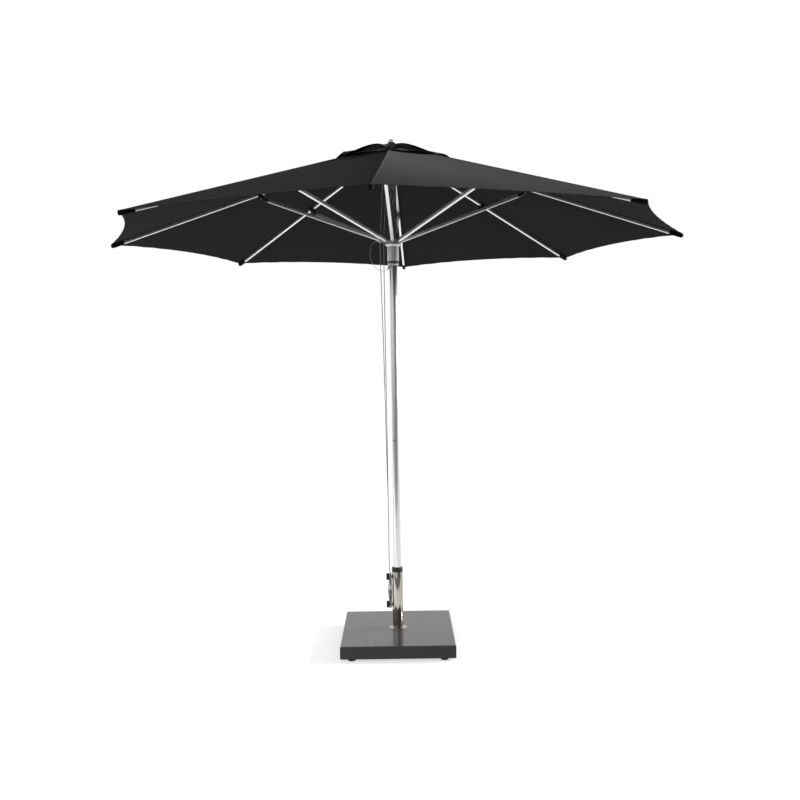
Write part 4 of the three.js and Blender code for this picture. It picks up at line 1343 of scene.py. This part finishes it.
def canopy_shape(side):
    """A sixteenth of the canopy, from a rib to the middle of the gore on one side of it, in a frame
    whose +X is out along the rib. side is -1 or 1. A column is a distance from the rib, in metres up to
    the seam's edge and then a share of what is left. A row is a distance up the slope from the hem."""
    cos, sin = math.cos(HALF_SECTOR), math.sin(HALF_SECTOR)
    seam_edge = 0.010
    near = [0.0, 0.0015, 0.003, 0.0045, 0.0058, 0.0066, seam_edge]
    columns = (near + [("share", n / 26) for n in range(1, 27)])[::side]
    rows = [0.0, 0.0006, 0.002, 0.010, 0.0195, 0.0212, 0.024] + steps_between(0.024, CANOPY_FALL, 44)

    def reach_at(row):
        along = 1 - row / CANOPY_FALL
        return along, CANOPY["vent"] + (CANOPY["tip"] - CANOPY["vent"]) * along

    def from_rib(step, reach):
        wide = reach * sin
        return seam_edge + (wide - seam_edge) * step[1] if isinstance(step, tuple) else step

    def point_at(step, row):
        along, reach = reach_at(row)
        wide = reach * sin
        sideways = wide - from_rib(step, reach)
        toward_rib = sideways / wide
        middle = reach * cos - along * CANOPY["scallop"] * (1 - toward_rib ** 2)
        sag = CANOPY["sag"] * (1 - toward_rib ** 2) * (0.12 + 0.88 * math.sin(math.pi * along) ** 0.8)
        tug = 0.0064 * math.sin(9 * math.pi * toward_rib) * toward_rib ** 2 * (1 - toward_rib) * along ** 6
        x = middle * cos + sideways * sin
        y = side * (middle * sin - sideways * cos)
        return (x, y, cloth_z(middle / cos) - sag + tug)

    def thickness_at(step, row):
        thick = CANOPY["thickness"]
        if not isinstance(step, tuple) and step < SEAM_FOLD["reach"]:
            thick += SEAM_FOLD["thickness"]
        if HEM_START < row < HEM_FOLD["reach"]:
            thick += HEM_FOLD["thickness"]
        return thick

    def uv_at(step, row):
        return (from_rib(step, reach_at(row)[1]), row)

    return cloth_mesh("canopy_gore", columns, rows, point_at, thickness_at, uv_at, CANVAS, LINING)


def canopy_area():
    """The flat area of the cloth over one rib: two triangles less their vent end and the hem's curves."""
    width = (CANOPY["tip"] + CANOPY["vent"]) * math.sin(HALF_SECTOR)
    curve = 2 / 3 * CANOPY["scallop"] * 2 * CANOPY["tip"] * math.sin(HALF_SECTOR)
    return CANOPY_FALL * math.cos(HALF_SECTOR) * width - curve


def ruffle(gore, share):
    """How far the cap's rim stands up at a share of the way from the gore's first rib to its second."""
    height, peak = VENT_RUFFLES[gore % RIBS]
    skew = (0.5 - peak) / (peak * (1 - peak))
    return height * math.sin(math.pi * (share + skew * share * (1 - share)))


def vent_shape(rib, side):
    """A sixteenth of the cap over the wind vent, on one side of a rib. Its rim lies on the rib, and
    between the ribs it is drawn in and stands up."""
    columns = [n / 20 - (1 if side < 0 else 0) for n in range(21)]
    slope_length = math.hypot(VENT["rim"] - VENT["hole"], VENT["crown_z"] - VENT["rim_z"])
    inner_row = slope_length * (VENT["rim"] - VENT["inner"]) / (VENT["rim"] - VENT["hole"])
    rows = [0.0, 0.0006, 0.002, 0.008, 0.0120, 0.0132, 0.016] + steps_between(0.016, inner_row, 24)

    def point_at(column, row):
        along = 1 - row / slope_length
        stand = ruffle(rib, column / 2) if side > 0 else ruffle(rib - 1, 1 + column / 2)
        radius = VENT["hole"] + (VENT["rim"] - stand - VENT["hole"]) * along
        angle = column * SECTOR / 2
        rise = stand * max(0.0, radius - VENT["patch"]) / (VENT["rim"] - VENT["patch"])
        z = VENT["crown_z"] + (VENT["rim_z"] - VENT["crown_z"]) * along + rise
        return (radius * math.cos(angle), radius * math.sin(angle), z)

    def thickness_at(column, row):
        return VENT_THICKNESS + (CAP_HEM["thickness"] if HEM_START < row < CAP_HEM["reach"] else 0.0)

    def uv_at(column, row):
        radius = VENT["rim"] - row
        return (abs(column) * SECTOR / 2 * radius + 0.02, row)

    return cloth_mesh("vent_gore", columns, rows, point_at, thickness_at, uv_at, CAP_CANVAS, LINING)


def vent_crown():
    """The round patch in the middle of the cap, which stays on the mast under the finial."""
    fall = (VENT["crown_z"] - VENT["rim_z"]) / (VENT["rim"] - VENT["hole"])
    lift = VENT_THICKNESS + 0.0004
    hole, edge = VENT["hole"], VENT["patch"]
    inner_z = VENT["crown_z"] + lift
    edge_z = inner_z - (edge - hole) * fall
    profile = [(hole, inner_z), (edge, edge_z), (edge + 0.0006, edge_z + 0.0009),
               (edge - 0.001, edge_z + 0.0016), (hole, inner_z + 0.0012)]
    patch = turned("vent_crown_patch", fillet(profile, 0.0003, 2), CAP_CANVAS, 96)
    ride(patch, "mast", "vent_cap")


def gather(azimuth, side):
    """The way from a rib to the middle of the gore beside it, square to the rib in the cloth's plane."""
    down = Vector((math.cos(RIB_SLOPE), 0, -math.sin(RIB_SLOPE)))
    way = Vector((0, side * math.cos(HALF_SECTOR), -math.sin(HALF_SECTOR) * math.tan(RIB_SLOPE)))
    way -= down * way.dot(down)
    return Matrix.Rotation(azimuth, 3, "Z") @ way.normalized()


def make_canopy():
    """The canopy and its cap, in halves of gores that are drawn in to their ribs as the parasol folds."""
    width = CANOPY["tip"] * math.sin(HALF_SECTOR)
    cap_length = math.hypot(VENT["rim"] - VENT["inner"], VENT["crown_z"] - VENT["rim_z"])
    cap_width = VENT["rim"] * math.tan(HALF_SECTOR) * 1.15

    def fold(piece, side, rib, keep, flat, area, under, *pocket):
        across = gather(RIB_AZIMUTHS[rib], side)
        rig.squash(piece, "canopy_fold", axis=across, anchor=(0, 0, cloth_z(0)), keep=keep)
        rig.sheet(piece, flat=flat, held="stretched", area=area, rests_on=[under], with_pieces=list(pocket))

    for side, hand in ((-1, "left"), (1, "right")):
        half_gore = canopy_shape(side)
        for rib in range(RIBS):
            number = rib + 1
            place = turn_about("Z", RIB_AZIMUTHS[rib])
            gore = new_object(f"canopy_gore_{number}_{hand}", half_gore, place)
            ride(gore, f"rib_{number}", f"canopy_{number}")
            pocket = [f"rib_tip_pocket_{number}"] if side < 0 else []
            flat, area = (width, CANOPY_FALL), canopy_area() / 2
            fold(gore, side, rib, FOLDED_CANOPY, flat, area, f"rib_bar_{number}", *pocket)
            cap = vent_shape(rib, side)
            cap_area = sum(face.area for face in cap.polygons if face.material_index == 0)
            flap = new_object(f"vent_gore_{number}_{hand}", cap, place)
            ride(flap, f"rib_{number}", "vent_cap")
            fold(flap, side, rib, FOLDED_VENT, (cap_width, cap_length), cap_area, gore.name)
    vent_crown()


make_slab()
make_feet()
make_tube()
make_collar()
make_anchor()
make_knobs()
make_mast()
make_hub()
make_runner()
make_pin()
make_frame()
make_canopy()


# ---- studio

def make_floor():
    """A wide floor, pale under and behind the parasol and grey in front of it."""
    settings = {"Specular_IOR_Level": 0.1, "Roughness": 0.9, "Emission_Color": grey(1.0)}
    made, graph, connect = material("studio_floor", **settings)
    place = graph.coords()
    tone = graph.span(graph.noise(place, 0.7, 2.0), 0.0, 1.0)
    front = graph.span(graph.node("ShaderNodeSeparateXYZ", {0: place}).outputs[1], 0.0, 1.0, -2.2, -1.62)
    pale = graph.blend(tone, grey(0.80), grey(0.82))
    connect("Base Color", graph.blend(front, grey(0.40), pale))
    connect("Emission Strength", graph.times(front, 0.57))
    half = 30.0
    outline = ring_section(-half, half, -half, half)
    mesh = mesh_of("studio_floor", [(x, y, 0.0) for x, y in outline], [[0, 1, 2, 3]], made)
    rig.stage(new_object("studio_floor", mesh))


def make_world():
    """A white studio with a grey wall behind the camera, and a dark screen to the right of it that
    draws the dark line down the mast."""
    world = bpy.data.worlds.new("studio")
    bpy.context.scene.world = world
    world.use_nodes = True
    graph = Graph(world.node_tree)
    background = world.node_tree.nodes["Background"]
    way = graph.node("ShaderNodeSeparateXYZ", {0: graph.node("ShaderNodeTexCoord").outputs["Generated"]})
    azimuth = graph.maths("ARCTAN2", way.outputs[1], way.outputs[0])
    share = graph.maths("MULTIPLY_ADD", azimuth, 1 / math.tau, 0.5)
    stops = [(0.00, 0.95), (0.16, 1.05), (0.21, 0.75), (0.25, 0.50), (0.30, 0.34), (0.33, 0.06),
             (0.385, 0.06), (0.41, 0.60), (0.50, 0.95), (0.60, 1.10), (0.75, 1.0), (0.90, 0.95), (1.0, 0.95)]
    around = graph.ramp(share, [(place, grey(value, 0.004)) for place, value in stops])
    high = graph.span(way.outputs[2], 0.0, 1.0, 0.35, 0.75)
    sky = graph.blend(high, around, grey(0.55))
    seen = graph.node("ShaderNodeLightPath").outputs["Is Camera Ray"]
    colour = graph.blend(seen, sky, grey(1.0))
    world.node_tree.links.new(colour, background.inputs["Color"])
    background.inputs["Strength"].default_value = 1.0


def make_light(name, place, target, size, spread, power):
    data = bpy.data.lights.new(name, "AREA")
    data.shape = "DISK"
    data.size = size
    data.spread = math.radians(spread)
    data.energy = power
    aim = (Vector(target) - Vector(place)).to_track_quat("-Z", "Y").to_matrix().to_4x4()
    new_object(name, data, shift(*place) @ aim)


make_floor()
make_world()
make_light("key_light", (9.0, 1.5, 4.8), (0, 0, 2.6), 2.0, 26.0, 270.0)
bpy.context.scene.view_settings.view_transform = "Standard"

visual_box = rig.bounds()
with open("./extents.json", "w") as out:
    json.dump({"cad": [list(corner) for corner in cad_box], "visual": [list(corner) for corner in visual_box]}, out)
